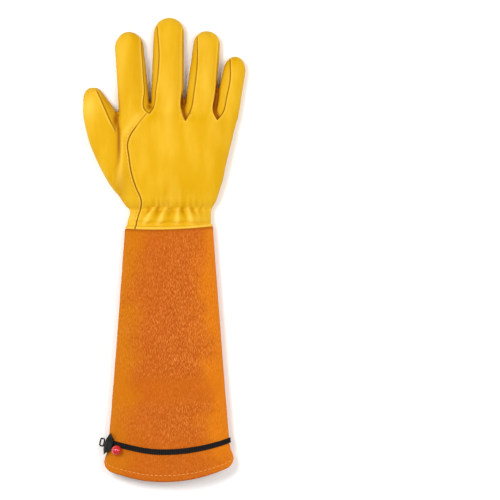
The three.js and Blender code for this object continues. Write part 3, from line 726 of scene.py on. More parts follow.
def drape(points, normals):
    """How far each point moves along its normal, and its painted shade and painted highlights."""
    x, y, z = points.T
    nearest, strips, back = seam_distance(points)
    facing = smooth(normals[:, 2], 0.05, 0.45)
    inside_back = back_field(points) < 0
    strip = strips.min(axis=0)
    on_strip = strip < 0
    is_strip_seam = np.abs(strip) < back
    outside_cuff = smooth(y, -4, 0)

    # The seams, with their edges standing up. The fingers lie over two of the strips' seams.
    overlap = np.minimum(line_distance(points, strip_lines[1][0]),
                         line_distance(points, strip_lines[2][0]))
    is_hidden = overlap < nearest + 0.05
    soft_top = 1 - 0.65 * smooth(y, 98, 106) * (x < -14) * ~is_strip_seam
    strip_groove = bell(strip, GROOVE_BREADTH) * facing
    back_groove = bell(back, GROOVE_BREADTH) * smooth(np.abs(strip), 0.5, 3.5) * (0.5 + 0.5 * facing)
    groove = np.maximum(strip_groove, back_groove) * outside_cuff * soft_top
    height = -GROOVE_DEPTH * groove
    edge = np.where(on_strip, 0.0, np.where(inside_back, BACK_EDGE, PALM_EDGE))
    edge = edge * bell(nearest - EDGE_OFFSET, EDGE_BREADTH)
    height += edge * outside_cuff * facing
    upper_fold = smooth(y, 84, 98) * (1 - smooth(y, 112, 120)) * ~inside_back * (x < -10) * (x > -50)
    fold_ridge = bell(back - FOLD_OFFSET, FOLD_BREADTH) * upper_fold * facing
    height += FOLD_HEIGHT * fold_ridge

    # Sunken corners between the fingers, with painted shade in them and on the gaps' floors below.
    low = 1 - smooth(y, 120, 138)
    corner = bell(overlap - CORNER_OFFSET, CORNER_BREADTH) * on_strip
    height -= CORNER_DEPTH * corner * low * smooth(facing, 0.3, 1.0)
    bottom = np.choose(strips.argmin(axis=0), GAP_BOTTOMS)
    under = 1 - smooth(y, bottom, bottom + 12)
    corner = bell(np.maximum(overlap - 2.4, 0), 1.9) * on_strip * under
    index_side = bell(line_distance(points, strip_lines[0][0]) - 1.6, 1.6) * on_strip
    all_painted_shade = np.maximum(0.95 * corner, 0.18 * index_side * (1 - smooth(y, 150, 185)))
    all_painted_shade = np.maximum(all_painted_shade, 0.85 * around_place(x, y, INDEX_CROTCH, 1, 3.2) * on_strip)
    between = smooth(14.5 - z, 0, 4) * (1 - smooth(y, bottom + 1, bottom + 9)) * smooth(y, 104, 112)
    between = between * np.where(on_strip, 1, smooth(-np.abs(strip), -4, -1))
    all_painted_shade = np.maximum.reduce([all_painted_shade, 0.05 * on_strip, 0.9 * between])

    # The wrist: the rolled edge over the cuff and the gathers.
    lip = y - cuff_edge(x / 42)
    rolled = bell(lip - LIP_OFFSET, LIP_BREADTH)
    height += LIP_HEIGHT * rolled - 0.5 * bell(lip - 4.4, 0.9)
    # The gathers also hand back the painted shade in their valleys and the painted highlight on their
    # ridges.
    gathered, valley, stretched = gathers(x, y)
    height += gathered * facing
    height += 0.16 * ripple(points, 26, 5) * smooth(y, 4, 20)

    # The thumb: the palm's edge over it, its seam, and the strip beside the seam.
    tuck, creased = thumb_field(points), crease_at_thumb(points)
    height -= 1.2 * bell(tuck + 0.8, 1.8) * creased
    height += 0.6 * bell(tuck - 3.5, 2.4) * (tuck > 0) * creased
    welt = stroke(points, THUMB_SEAM + WELT_SHIFT, 0.9, 0.45)
    height += stroke(points, THUMB_SEAM, 0.6, -0.9) + welt
    # Painted shade on the strip beside the thumb's seam, in the crease under the palm's edge, in the web
    # between thumb and index, and at a few more places.
    thumb_strip = stroke(points, THUMB_SEAM + THUMB_STRIP_SHIFT, 3.4, 0.3) * (tuck < 0)
    painted_shade = 0.8 * bell(tuck + 0.2, 0.75) * creased * (0.25 + 0.75 * smooth(y, 58, 84))
    web = around_place(x, y, THUMB_WEB, 2.4, 3.6) * (tuck < 0.5)
    web = web * (line_distance(points, THUMB_SEAM) > 0.7)
    painted_shade = np.maximum.reduce([painted_shade, 0.9 * web, places(x, y, PAINTED_SHADE_PLACES)])
    palm_ridge = bell(tuck - 1.8, 1.2) * (tuck > 0) * smooth(y, 34, 60) * (1 - smooth(y, 84, 100))

    # Painted shade in the seams' grooves, fainter where a finger lies over the seam, and along the
    # thumb's seam.
    seam = groove * facing * np.where(is_hidden, 0.12, np.where(is_strip_seam, 0.7, 1.0))
    seam = np.maximum(seam, stroke(points, THUMB_SEAM, 0.5, 0.8))
    # All the painted shade together.
    all_painted_shade = np.maximum.reduce([all_painted_shade, thumb_strip, painted_shade, valley * facing])
    # Painted highlights: on the gathers' ridges, the raised seam edges, the upper fold's ridge, the
    # rolled edge, the welt, the palm's edge, the thumb's top, the wrist's side and a few more places.
    thumb_top = around_place(x, y, THUMB_TOP, 1.9, 6.5)
    wrist_side = bell(x - WRIST_SIDE[0], 6) * bell(y - WRIST_SIDE[1], 9)
    painted_highlight = np.maximum.reduce([
        stretched, 0.75 * edge * outside_cuff, 0.35 * fold_ridge, 0.5 * rolled, welt,
        0.5 * palm_ridge, 0.6 * thumb_top, 0.35 * wrist_side, places(x, y, PAINTED_HIGHLIGHT_PLACES)])
    return height, {"seam": seam, "painted_shade": all_painted_shade, "painted_highlight": painted_highlight * facing}


hand_normals = unit(relax(normals_of(hand_points, hand_triangles), hand_triangles, 3, 0.6))
height, hand_shades = drape(hand_points, hand_normals)
hand_points = hand_points + hand_normals * height[:, None]
near_crease = bell(thumb_field(hand_points), 3.0) * crease_at_thumb(hand_points)
hand_points = relax(hand_points, hand_triangles, 8, 0.5 * near_crease)
on_side = (np.abs(hand_normals[:, 2]) < 0.35) & (hand_points[:, 1] > 30)
hand_points = relax(hand_points, hand_triangles, 4, 0.6 * on_side)
hand_points[:, 2] = np.maximum(hand_points[:, 2], LEAST_HEIGHT)

# %% [markdown]
# ## The panels
# Real leather has a thickness, so each panel becomes a closed sheet: the outside, the inside a wall
# deeper, and the cut edge around it. At a fingertip or deep in a gap there is less room than a whole
# wall, and the inside would come out through the other face. So a ray measures the room below each
# point, and the wall is thinner there.

# %% Sort the triangles into panels
centres = hand_points[hand_triangles].mean(axis=1)
panel = np.full(len(hand_triangles), "palm_and_index_panel", object)
strip_names = ["fourchette_index_middle", "fourchette_middle_ring", "fourchette_ring_little"]
panel[back_field(centres) < 0] = "back_panel"
for number, name in enumerate(strip_names):
    panel[strip_field(centres, number) < 0] = name
panel[thumb_field(centres) < 0] = "thumb"
leather_tree = BVHTree.FromPolygons(hand_points.tolist(), hand_triangles.tolist())
RAY_START, ROOM_SHARE = 0.05, 0.45


def room_below(point, inward):
    """How far the opposite side of the leather is below a point of the skin, or twice the wall."""
    hit = leather_tree.ray_cast(Vector(point + inward * RAY_START), Vector(inward), 2 * HAND_WALL)
    return 2 * HAND_WALL if hit[3] is None else hit[3]


room = np.array([room_below(point, -normal) for point, normal in zip(hand_points, hand_normals)])
hand_wall = np.minimum(HAND_WALL, ROOM_SHARE * room)
print("Points with less room than a whole wall:", int((hand_wall < HAND_WALL).sum()))


def leather_shell(name, triangles):
    """One panel of leather as a closed sheet: the outside, the inside and the cut edge."""
    used, local = np.unique(triangles, return_inverse=True)
    local = local.reshape(-1, 3)
    outer = hand_points[used]
    inner = outer - hand_normals[used] * hand_wall[used, None]
    inner[:, 2] = np.maximum(inner[:, 2], LEAST_INSIDE_HEIGHT)
    count = len(used)
    directed = local[:, [[0, 1], [1, 2], [2, 0]]].reshape(-1, 2)
    twins = set(map(tuple, directed[:, ::-1].tolist()))
    border = np.array([edge for edge in directed.tolist() if tuple(edge) not in twins])
    rim, rim_number = np.unique(border, return_inverse=True)
    rim_number = rim_number.reshape(-1, 2)
    points = np.vstack([outer, inner, outer[rim], inner[rim]])
    a, b = rim_number.T + 2 * count
    below = len(rim)
    faces = np.vstack([local, local[:, ::-1] + count,
                       np.stack([b, a, a + below], 1), np.stack([b, a + below, b + below], 1)])
    layers = {}
    for layer, values in hand_shades.items():
        shade = values[used]
        layers[layer] = np.concatenate([shade, 0 * shade, shade[rim], shade[rim]])
    return mesh_object(name + "_leather", points + SHIFT, faces, layers)


leather_pieces = {name: leather_shell(name, hand_triangles[panel == name])
                  for name in ["palm_and_index_panel", "back_panel", "thumb"] + strip_names}
print("Panels:", {name: len(piece.data.polygons) for name, piece in leather_pieces.items()})

# %% [markdown]
# ## The suede cuff
# The cuff is a long tube that widens towards its hem. It is a plain sheet rolled up and sewn, so a
# grid around the tube follows it well. Its profile runs down the outside, round the hem, up the
# inside and round the upper edge, which makes one closed skin with a real thickness.

# %% The cuff's surface
# Shallow dents: their places along and across as shares, their length, breadth and depth.
CUFF_DENTS = [(0.22, -0.35, 0.09, 0.3, 0.05), (0.42, 0.3, 0.2, 0.25, 0.06),
              (0.68, -0.3, 0.18, 0.22, 0.05)]
STRAP_STEP = STRAP_THICKNESS + SEAM_GAP
STRAP_LIFT = 2.4
HEM_CORNER = 6.5
HEM_STITCH_FROM_EDGE = 6.5


def strap_path(across):
    """The share of the cuff's length at which the strap's middle runs: higher at the clasp."""
    return STRAP_SHARE - STRAP_LIFT / CUFF_LENGTH * smooth(-across, 0.15, 0.95)


def cuff_surface(share, angle, grow):
    """Points of the cuff at shares of its length and at angles, grown outwards."""
    share, angle, grow = np.broadcast_arrays(share, angle, np.asarray(grow, float))
    across = np.cos(angle)
    half = (CUFF_TOP_WIDTH + (CUFF_HEM_WIDTH - CUFF_TOP_WIDTH) * share) / 2
    half = half + HEM_FLARE * smooth(share, STRAP_SHARE + 0.01, 0.98)
    height = CUFF_TOP_HEIGHT + (CUFF_HEM_HEIGHT - CUFF_TOP_HEIGHT) * share
    from_strap = np.abs(share - strap_path(across)) * CUFF_LENGTH
    floor = STRAP_STEP * (1 - smooth(from_strap, STRAP_WIDTH, STRAP_WIDTH * 2))
    is_back = np.sin(angle) >= 0
    arch = (1 - np.abs(across) ** TUBE_SQUARENESS) ** (1 / TUBE_SQUARENESS) * np.where(is_back, 1, -1)
    y = HEM_SAG * share ** 3 * across ** 2 + HEM_SKEW / 2 * share * across - CUFF_LENGTH * share
    y = y + cuff_edge(across) * (1 - np.clip(share, 0, 1)) ** 6
    from_corner = np.clip((np.abs(across) - 0.9) / 0.1, 0, 1)
    y = y + HEM_CORNER * (1 - np.sqrt(1 - from_corner ** 2)) * smooth(share, 0.92, 1.0)
    base = np.stack([half * across, y, height * arch / 2], -1)
    soft = (0.35 * ripple(base, 34, 11) + 0.12 * ripple(base, 11, 12)) * (1 - 0.85 * across ** 6)
    pinch = 0.35 * bell(from_strap, 3.6)
    full = grow + soft * smooth(share, 0, 0.06) - pinch
    x = (half + full) * across
    z = height * (1 - CROWN_SHARE) + (height * CROWN_SHARE + full) * arch
    for along, beside, length, breadth, depth in CUFF_DENTS:
        near = bell(share - along, length) * bell(across - beside, breadth)
        z = z - CUFF_HEM_HEIGHT * depth * near * is_back
    return np.stack([x, y, np.maximum(z, np.maximum(floor - grow, 0))], -1)


# %% The cuff's skin
CUFF_SIDES = 288
OUTSIDE_ROWS, INSIDE_ROWS = 170, 60
HEM_SEAM_DEPTH, TOP_SEAM_HEIGHT = 0.3, 0.25
cuff_angle = full_turn(CUFF_SIDES)
rim_radius = CUFF_WALL / 2
turn = np.linspace(0, math.pi, 7)[1:-1]
hem_out = np.sin(turn) * rim_radius / CUFF_LENGTH
last_share = 1 - rim_radius / CUFF_LENGTH
outer_shares = np.linspace(0, last_share, OUTSIDE_ROWS)
inner_shares = np.linspace(last_share, 0, INSIDE_ROWS)
profile_share = np.concatenate([outer_shares, last_share + hem_out, inner_shares, -hem_out])
profile_grow = np.concatenate([
    0 * outer_shares, (np.cos(turn) - 1) * rim_radius,
    0 * inner_shares - CUFF_WALL, (-np.cos(turn) - 1) * rim_radius])
is_outside = profile_grow == 0
from_hem, from_top = (1 - profile_share) * CUFF_LENGTH, profile_share * CUFF_LENGTH
profile_grow = profile_grow - HEM_SEAM_DEPTH * bell(from_hem - HEM_STITCH_FROM_EDGE, 1.3) * is_outside
profile_grow = profile_grow + TOP_SEAM_HEIGHT * bell(from_top - 1.6, 1.2) * is_outside
rings = cuff_surface(profile_share[:, None], cuff_angle[None], profile_grow[:, None])
rows = len(rings)
cuff_quads = grid_faces(rows, CUFF_SIDES)[:, [0, 3, 2, 1]]
cuff_layers = {"across": np.broadcast_to(np.cos(cuff_angle), (rows, CUFF_SIDES)).reshape(-1),
               "along": np.repeat(profile_share, CUFF_SIDES)}
cuff = mesh_object("cuff_suede", rings.reshape(-1, 3) + SHIFT, cuff_quads, cuff_layers)
print("The cuff's skin has", rows, "rows of", CUFF_SIDES)

# %% [markdown]
# ## The strap
# The strap is woven elastic: cross ribs cover its rubber cores, and its two edges are a little
# thicker. It is a band around the cuff whose outside rises and falls once for each rib.

# %% The strap's band
STRAP_SIDES = 640
RIBS = 150
EDGE_ROUND, CORD_HEIGHT, RIB_HEIGHT = 0.4, 0.12, 0.22
strap_angle = full_turn(STRAP_SIDES)
half_band = STRAP_WIDTH / 2
outside = np.linspace(-1, 1, 9)
band_along = np.concatenate([outside * (half_band - EDGE_ROUND), half_band + np.zeros(3),
                             outside[::-1] * (half_band - EDGE_ROUND), -half_band + np.zeros(3)])
band_lift = np.concatenate([1 + 0 * outside, [0.85, 0.5, 0.15], 0 * outside, [0.15, 0.5, 0.85]])
strap_share = strap_path(np.cos(strap_angle))
ground = cuff_surface(strap_share, strap_angle, 0.0)
run = lengths_along(ground)
rib = np.cos(run / run[-1] * RIBS * 2 * math.pi)
edge_cord = CORD_HEIGHT * smooth(np.abs(band_along), half_band - 1.2, half_band - 0.5)
woven = STRAP_THICKNESS - 0.3 + RIB_HEIGHT * rib[None] + edge_cord[:, None]
band_grow = SEAM_GAP + band_lift[:, None] * woven
band = cuff_surface(strap_share + band_along[:, None] / CUFF_LENGTH, strap_angle[None], band_grow)
rows = len(band)
strap_layers = {"rib": np.broadcast_to(rib * 0.5 + 0.5, (rows, STRAP_SIDES)).reshape(-1)}
strap = mesh_object("strap_elastic", band.reshape(-1, 3) + SHIFT, grid_faces(rows, STRAP_SIDES),
                    strap_layers)
print("Around the cuff the strap is", round(float(run[-1])), "mm long")

# %% [markdown]
# ## Materials
# Each material starts from the real one. A few small functions add nodes: any input may be given a
# value or another node's output, and each function hands back the output that the next one needs.

# %% Functions for materials
def new_material(name, specular, **sockets):
    material = bpy.data.materials.new(name)
    material.use_nodes = True
    shader = material.node_tree.nodes["Principled BSDF"]
    shader.inputs["Specular IOR Level"].default_value = specular
    for socket, value in sockets.items():
        shader.inputs[socket.replace("_", " ")].default_value = value
    return material


def add_node(material, kind, inputs=None, **settings):
    tree = material.node_tree
    node = tree.nodes.new(kind)
    for setting, value in settings.items():
        setattr(node, setting, value)
    for name, value in (inputs or {}).items():
        if isinstance(value, bpy.types.NodeSocket):
            tree.links.new(value, node.inputs[name])
        else:
            node.inputs[name].default_value = value
    return node


def own_place(material):
    """The place of each point in the piece's own axes, in metres."""
    return add_node(material, "ShaderNodeTexCoord").outputs["Object"]


def layer_of(material, name):
    return add_node(material, "ShaderNodeAttribute", attribute_name=name).outputs["Fac"]


def noise(material, place, scale, detail):
    inputs = {"Vector": place, "Scale": scale, "Detail": detail}
    return add_node(material, "ShaderNodeTexNoise", inputs).outputs


def stretched_place(material, place, scale):
    return add_node(material, "ShaderNodeMapping", {"Vector": place, "Scale": scale}).outputs[0]


def spread(material, value, start, end, low, high, **settings):
    """A value turned from the range between start and end to the one between low and high."""
    inputs = {0: value, 1: start, 2: end, 3: low, 4: high}
    return add_node(material, "ShaderNodeMapRange", inputs, **settings).outputs[0]


def combine(material, operation, first, second):
    return add_node(material, "ShaderNodeMath", {0: first, 1: second}, operation=operation).outputs[0]


def mix(material, share, below, above):
    """A colour between two others, each an sRGB hex colour or an output."""
    below, above = (linear(tone) if isinstance(tone, str) else tone for tone in (below, above))
    inputs = {0: share, 6: below, 7: above}
    return add_node(material, "ShaderNodeMix", inputs, data_type="RGBA").outputs[2]


def paint(material, colour):
    shader = material.node_tree.nodes["Principled BSDF"]
    material.node_tree.links.new(colour, shader.inputs["Base Color"])


def emboss(material, height, strength, distance):
    inputs = {"Height": height, "Strength": strength, "Distance": distance}
    bump = add_node(material, "ShaderNodeBump", inputs)
    shader = material.node_tree.nodes["Principled BSDF"]
    material.node_tree.links.new(bump.outputs[0], shader.inputs["Normal"])


def mottled(material, scale, detail, dark, light):
    """Paints a material with two near tones in soft spots, and returns the spots."""
    spots = noise(material, own_place(material), scale, detail)["Fac"]
    paint(material, mix(material, spots, dark, light))
    return spots


# %% [markdown]
# ### Grain leather
# Dyed cowhide with its grain side out: a soft, semi-matte skin with fine pebbled cells about a
# millimetre across and slightly uneven dye. Light and shade are also painted into its colour: the three
# values that each point carries give painted shade in the seams, painted shade in folds, gaps and
# creases, and painted highlights on crests and raised edges.

# %% Grain leather
leather = new_material("tanned_grain_cowhide", 0.06, IOR=1.5, Roughness=0.52)
place = own_place(leather)
drawn = stretched_place(leather, place, (75.0, 22.0, 60.0))
streak = spread(leather, noise(leather, drawn, 1.0, 3.0)["Fac"], 0.4, 0.66, 0.0, 1.0)
dye_and_painted_light = mix(leather, streak, "#cd9a05", "#d5a51f")
# Painted highlight on crests and raised edges.
dye_and_painted_light = mix(leather, layer_of(leather, "painted_highlight"), dye_and_painted_light, "#efc550")
# Painted shade in folds, gaps and creases.
dye_and_painted_light = mix(leather, layer_of(leather, "painted_shade"), dye_and_painted_light, "#8c4803")
# Painted shade in the seams, standing in for the shadow in their grooves.
painted_seam_share = combine(leather, "MULTIPLY", layer_of(leather, "seam"), 0.95)
paint(leather, mix(leather, painted_seam_share, dye_and_painted_light, "#6e2c02"))
cells = add_node(leather, "ShaderNodeTexVoronoi", {"Vector": place, "Scale": 900.0}).outputs["Distance"]
wrinkles = noise(leather, place, 260.0, 4.0)["Fac"]
emboss(leather, combine(leather, "ADD", cells, wrinkles), 0.25, 0.0003)
for name, piece in leather_pieces.items():
    finish_piece(piece, leather, "grain_leather", name)

# %% [markdown]
# ### Suede
# Split cowhide with a brushed nap. Loose fibres scatter light, so it has no gloss, a soft sheen and
# short light and dark strokes that run along the cuff. The strokes are strongest down the middle,
# and the colour turns more orange towards both edges.

# %% Suede
suede = new_material("brushed_split_suede", 0.1, Roughness=0.95, Sheen_Weight=0.15,
                     Sheen_Roughness=0.5, Sheen_Tint=linear("#ffb060"))
place, across, along = own_place(suede), layer_of(suede, "across"), layer_of(suede, "along")
shifted = spread(suede, noise(suede, place, 32.0, 3.0)["Fac"], 0.3, 0.7, -0.18, 0.18)
wavy_across = combine(suede, "ADD", across, shifted)
to_left = spread(suede, wavy_across, -0.35, -1.0, 0.0, 1.0, interpolation_type="SMOOTHSTEP")
to_right = spread(suede, wavy_across, 0.45, 0.95, 0.0, 1.0, interpolation_type="SMOOTHSTEP")

# Places along the cuff, as shares, and how much of the nap stands up there.
NAP_ALONG = [(0.0, 0.55), (0.1, 0.85), (0.3, 1.0), (0.56, 1.0), (0.61, 0.35), (0.67, 0.4),
             (0.72, 0.95), (0.82, 0.8), (0.87, 0.45), (1.0, 0.5)]
ramp = add_node(suede, "ShaderNodeValToRGB", {"Fac": along})
elements = ramp.color_ramp.elements
elements.remove(elements[1])
for number, (place_along, standing) in enumerate(NAP_ALONG):
    element = elements[0] if number == 0 else elements.new(place_along)
    element.position = place_along
    element.color = (standing, standing, standing, 1)
standing_along = ramp.outputs["Color"]
tone = mix(suede, standing_along, "#b75c08", "#b25511")
tone = mix(suede, to_left, tone, "#bc6a04")
tone = mix(suede, to_right, tone, "#cc7008")

bend = noise(suede, place, 60.0, 1.0)["Color"]
bend = add_node(suede, "ShaderNodeVectorMath", {0: bend, "Scale": 0.0035}, operation="SCALE")
bent = add_node(suede, "ShaderNodeVectorMath", {0: place, 1: bend.outputs[0]}, operation="ADD")
nap_place = stretched_place(suede, bent.outputs[0], (1450.0, 330.0, 1450.0))
nap = noise(suede, nap_place, 1.0, 3.0)["Fac"]
from_left = spread(suede, wavy_across, -0.8, 0.1, 0.45, 1.0)
towards_right = spread(suede, wavy_across, 0.45, 0.85, 1.0, 0.5)
standing = combine(suede, "MULTIPLY", from_left, towards_right)
standing = combine(suede, "MULTIPLY", standing, standing_along)
lighter = combine(suede, "MULTIPLY", spread(suede, nap, 0.5, 0.68, 0.0, 0.7), standing)
darker = combine(suede, "MULTIPLY", spread(suede, nap, 0.5, 0.33, 0.0, 0.75), standing)
tone = mix(suede, lighter, tone, "#dd8a40")
tone = mix(suede, darker, tone, "#96400a")
# Painted shadow along the cuff's top, under the leather's rolled edge, and a darker tone at the hem's
# edge.
top_shadow = spread(suede, along, 0.010, 0.0, 0.0, 0.55)
hem_edge = spread(suede, along, 0.993, 1.0, 0.0, 0.55)
paint(suede, mix(suede, combine(suede, "MAXIMUM", top_shadow, hem_edge), tone, "#8a4006"))
emboss(suede, nap, 0.6, 0.0006)
finish_piece(cuff, suede, "suede", "cuff")

# %% [markdown]
# ### Woven elastic
# The elastic's yarn is dull polyester, so it is nearly black, with a painted highlight that makes the
# rib tops greyer. It has hardly any gloss: the yarn's fibres scatter the light.

# %% Woven elastic
elastic = new_material("woven_rubber_elastic", 0.12, Roughness=0.75)
# Painted highlight: the rib tops are greyer than the valleys.
paint(elastic, mix(elastic, layer_of(elastic, "rib"), "#010101", "#1e1b1b"))
finish_piece(strap, elastic, "elastic_band", "strap")

# %% [markdown]
# ### Plastics and thread
# The clasp is moulded in a spark-eroded mould, which leaves a fine, satin surface. The bead comes out
# of a polished mould, so it is smooth and mirrors the lamps. The thread is spun from short polyester
# fibres and stays dull.

# %% Plastics and thread
black = new_material("injection_moulded_black_plastic", 0.14, IOR=1.53, Roughness=0.42)
emboss(black, mottled(black, 1400.0, 2.0, "#010101", "#080707"), 0.3, 0.0001)
red = new_material("polished_red_plastic", 0.7, IOR=1.53, Roughness=0.06)
mottled(red, 320.0, 2.0, "#b00414", "#c80c22")
TYPICAL_SPECULAR = 0.5
thread = new_material("spun_polyester_thread", TYPICAL_SPECULAR, Roughness=0.8)
mottled(thread, 2500.0, 1.0, "#b0770a", "#d79c22")
pale_thread = new_material("pale_spun_polyester_thread", TYPICAL_SPECULAR, Roughness=0.8)
mottled(pale_thread, 2500.0, 1.0, "#d08434", "#e8a85a")

# %% [markdown]
# ## The clasp, its loop and the bead
# The clasp is a moulded bracket that wraps the strap at the cuff's edge. An upright block with the
# clasp's outline is kept where it lies in the cuff's form grown outwards, and loses the space of the
# cuff and the strap. That is how a part is shaped to fit round another one.

# %% Blocks that follow the cuff
CLASP_OUTLINE = [(-58.7, -203.6), (-54.8, -209.6), (-57.4, -219.2), (-65.0, -225.0),
                 (-65.4, -217.0), (-62.6, -209.6)]
CLASP_BOTTOM, CLASP_TOP, RIB_BOTTOM = 7.4, 27.6, 16
CLASP_GROW, RIB_GROW = 4.6, 5.3
CLASP_ROUND, RIB_ROUND, SHARP_TURN = 0.45, 0.15, math.radians(40)
FIT_REACH, FIT_GAP = 20, 0.4
FIT_ROWS, FIT_SIDES = 81, 200


def block(outline, bottom, top):
    """Points and faces of an upright block over an outline, in millimetres."""
    count = len(outline)
    flat = np.array(outline, float)
    points = np.vstack([np.c_[flat, np.full(count, top)], np.c_[flat, np.full(count, bottom)]])
    sides = [[i, (i + 1) % count, (i + 1) % count + count, i + count] for i in range(count)]
    return points, sides + [list(range(count))[::-1], list(range(count, 2 * count))]


def cuff_form(grow, step):
    """The cuff near the strap, grown outwards, and by a step more where the strap runs."""
    near = np.linspace(-FIT_REACH, FIT_REACH, FIT_ROWS)
    grown = grow + step * (np.abs(near) < STRAP_WIDTH / 2 + 0.6)
    turns = full_turn(FIT_SIDES)
    share = strap_path(np.cos(turns)) + near[:, None] / CUFF_LENGTH
    return tube(cuff_surface(share, turns[None], grown[:, None]))


def fitted_block(outline, bottom, top, grow, breadth):
    """The part of a block within the grown cuff and outside the cuff and strap, its edges rounded."""
    piece = mesh_object("block", *block(outline, bottom, top))
    helpers = [mesh_object("grown", *cuff_form(grow, 0)),
               mesh_object("space", *cuff_form(FIT_GAP, STRAP_STEP))]
    for helper, operation in zip(helpers, ("INTERSECT", "DIFFERENCE")):
        cut = piece.modifiers.new(operation, "BOOLEAN")
        cut.object = helper
        cut.operation = operation
    bevel = piece.modifiers.new("Round", "BEVEL")
    bevel.width = breadth * MM
    bevel.segments = 2
    bevel.limit_method = "ANGLE"
    bevel.angle_limit = SHARP_TURN
    shape = shape_of(piece)
    for helper in [piece] + helpers:
        bpy.data.objects.remove(helper)
    return shape


# %% The clasp with its grip ribs and its tongue
CLASP_AXIS = np.array([(-58.4, -207.6), (-62.6, -221.6)])
RIB_PLACES, RIB_HALF_LENGTH, RIB_HALF_WIDTH = (0.12, 0.3, 0.7, 0.88), 2.3, 0.5
TONGUE_START, TONGUE_WIDTH, TONGUE_THICKNESS, TONGUE_GAP = 3.4, 3.8, 1.4, 0.45
TONGUE_BEGINS, TONGUE_ENDS, TONGUE_STEPS = math.radians(141), math.radians(176), 30

clasp_parts = [fitted_block(CLASP_OUTLINE, CLASP_BOTTOM, CLASP_TOP, CLASP_GROW, CLASP_ROUND)]
axis = unit(CLASP_AXIS[1] - CLASP_AXIS[0])
side = np.array([axis[1], -axis[0]])
for share in RIB_PLACES:
    middle = CLASP_AXIS[0] + (CLASP_AXIS[1] - CLASP_AXIS[0]) * share
    rib_outline = [middle + side * u * RIB_HALF_LENGTH + axis * v * RIB_HALF_WIDTH
                   for u, v in ((-1, -1), (1, -1), (1, 1), (-1, 1))]
    clasp_parts.append(fitted_block(rib_outline, RIB_BOTTOM, CLASP_TOP, RIB_GROW, RIB_ROUND))
tongue_angle = np.linspace(TONGUE_BEGINS, TONGUE_ENDS, TONGUE_STEPS)
tongue_ring = np.array([(0, 0.0), (0, 0.7), (0.12, 1.0), (0.88, 1.0), (1, 0.7), (1, 0.0)])
tongue_share = strap_path(np.cos(tongue_angle))[:, None]
tongue_share = tongue_share + (TONGUE_START + TONGUE_WIDTH * tongue_ring[:, 0]) / CUFF_LENGTH
tongue_grow = TONGUE_GAP + TONGUE_THICKNESS * tongue_ring[:, 1]
tongue = cuff_surface(tongue_share, tongue_angle[:, None], tongue_grow[None])
clasp_parts.append(tube(tongue))
clasp_points, clasp_faces = joined(clasp_parts)
clasp = mesh_object("clasp_moulded", clasp_points + SHIFT, clasp_faces)
clasp.data.shade_flat()
finish_piece(clasp, black, "black_plastic", "clasp")
print("The clasp's box:", clasp_points.min(0).round(1), clasp_points.max(0).round(1))

# %% The loop
LOOP_CENTRE = np.array([-66.7, -213.0, 13.3])
LOOP_HALF_WIDTH, LOOP_HALF_LENGTH, LOOP_CORNER, LOOP_RADIUS = 1.9, 3.7, 1.3, 0.8
LOOP_LEAN = math.radians(-11)


def rounded_loop(half_width, half_length, corner, steps=8):
    """Points around a rectangle with round corners."""
    quarter = np.linspace(0, math.pi / 2, steps)
    points = []
    for number, (sx, sy) in enumerate(((1, 1), (-1, 1), (-1, -1), (1, -1))):
        turned = quarter + number * math.pi / 2
        points.append(np.stack([sx * (half_width - corner) + corner * np.cos(turned),
                                sy * (half_length - corner) + corner * np.sin(turned)], -1))
    return np.vstack(points)


def ring_mesh(path, radius, sides=14):
    """A closed round bar along a closed flat path."""
    ahead = unit(np.roll(path, -1, axis=0) - np.roll(path, 1, axis=0))
    outward = np.stack([ahead[:, 1], -ahead[:, 0]], -1)
    turns = full_turn(sides)
    flat = path[:, None] + outward[:, None] * np.cos(turns)[None, :, None] * radius
    up = np.broadcast_to(np.sin(turns) * radius, flat.shape[:2])[..., None]
    return np.concatenate([flat, up], -1).reshape(-1, 3), grid_faces(len(path), sides)


loop_path = rounded_loop(LOOP_HALF_WIDTH, LOOP_HALF_LENGTH, LOOP_CORNER)
loop_points, loop_faces = ring_mesh(loop_path, LOOP_RADIUS)
cosine, sine = math.cos(LOOP_LEAN), math.sin(LOOP_LEAN)
loop_points = loop_points @ np.array([(cosine, sine, 0), (-sine, cosine, 0), (0, 0, 1)]) + LOOP_CENTRE
loop = mesh_object("clasp_loop_moulded", loop_points + SHIFT, loop_faces)
finish_piece(loop, black, "black_plastic", "clasp_loop")

# %% [markdown]
# The bead is pressed from two halves, so a hair-thin ridge runs around it. It stands on a short
# collar. Its gloss comes from the material; the form adds the ridge and the collar.

# %% The bead
BEAD_CENTRE, BEAD_RADIUS = np.array([-51.9, -220.3, 31.65]), 4.85
BEAD_SIDES, BEAD_ROWS, RIDGE_ABOVE, RIDGE_ANGLE = 64, 48, 0.05, 0.035
COLLAR = np.array([(2.2, -4.85), (2.3, -4.5), (2.2, -4.1), (1.6, -3.6)])


def turned(radius, height):
    """Points and faces of an upright turned form with these radii at these heights."""
    turns = full_turn(BEAD_SIDES)
    return tube(np.stack([radius[:, None] * np.cos(turns), radius[:, None] * np.sin(turns),
                          np.broadcast_to(height[:, None], (len(height), BEAD_SIDES))], -1))


latitude = np.linspace(-math.pi / 2, math.pi / 2, BEAD_ROWS)[1:-1]
radius = BEAD_RADIUS * np.cos(latitude) + RIDGE_ABOVE * bell(latitude, RIDGE_ANGLE)
ball, collar = turned(radius, BEAD_RADIUS * np.sin(latitude)), turned(*COLLAR.T)
bead_points, bead_faces = joined([ball, collar])
bead = mesh_object("bead_polished", bead_points + BEAD_CENTRE + SHIFT, bead_faces)
finish_piece(bead, red, "red_plastic", "bead")

# %% [markdown]
# ## Stitches
# A lockstitch shows as short thread capsules, each sunk at its ends where the thread goes through.
# One mesh holds a whole row. Rows on the hand are found by rays cast down on to the leather.

# %% Make a row of stitches
THREAD_RADIUS = 0.34
STITCH_SIDES = 6
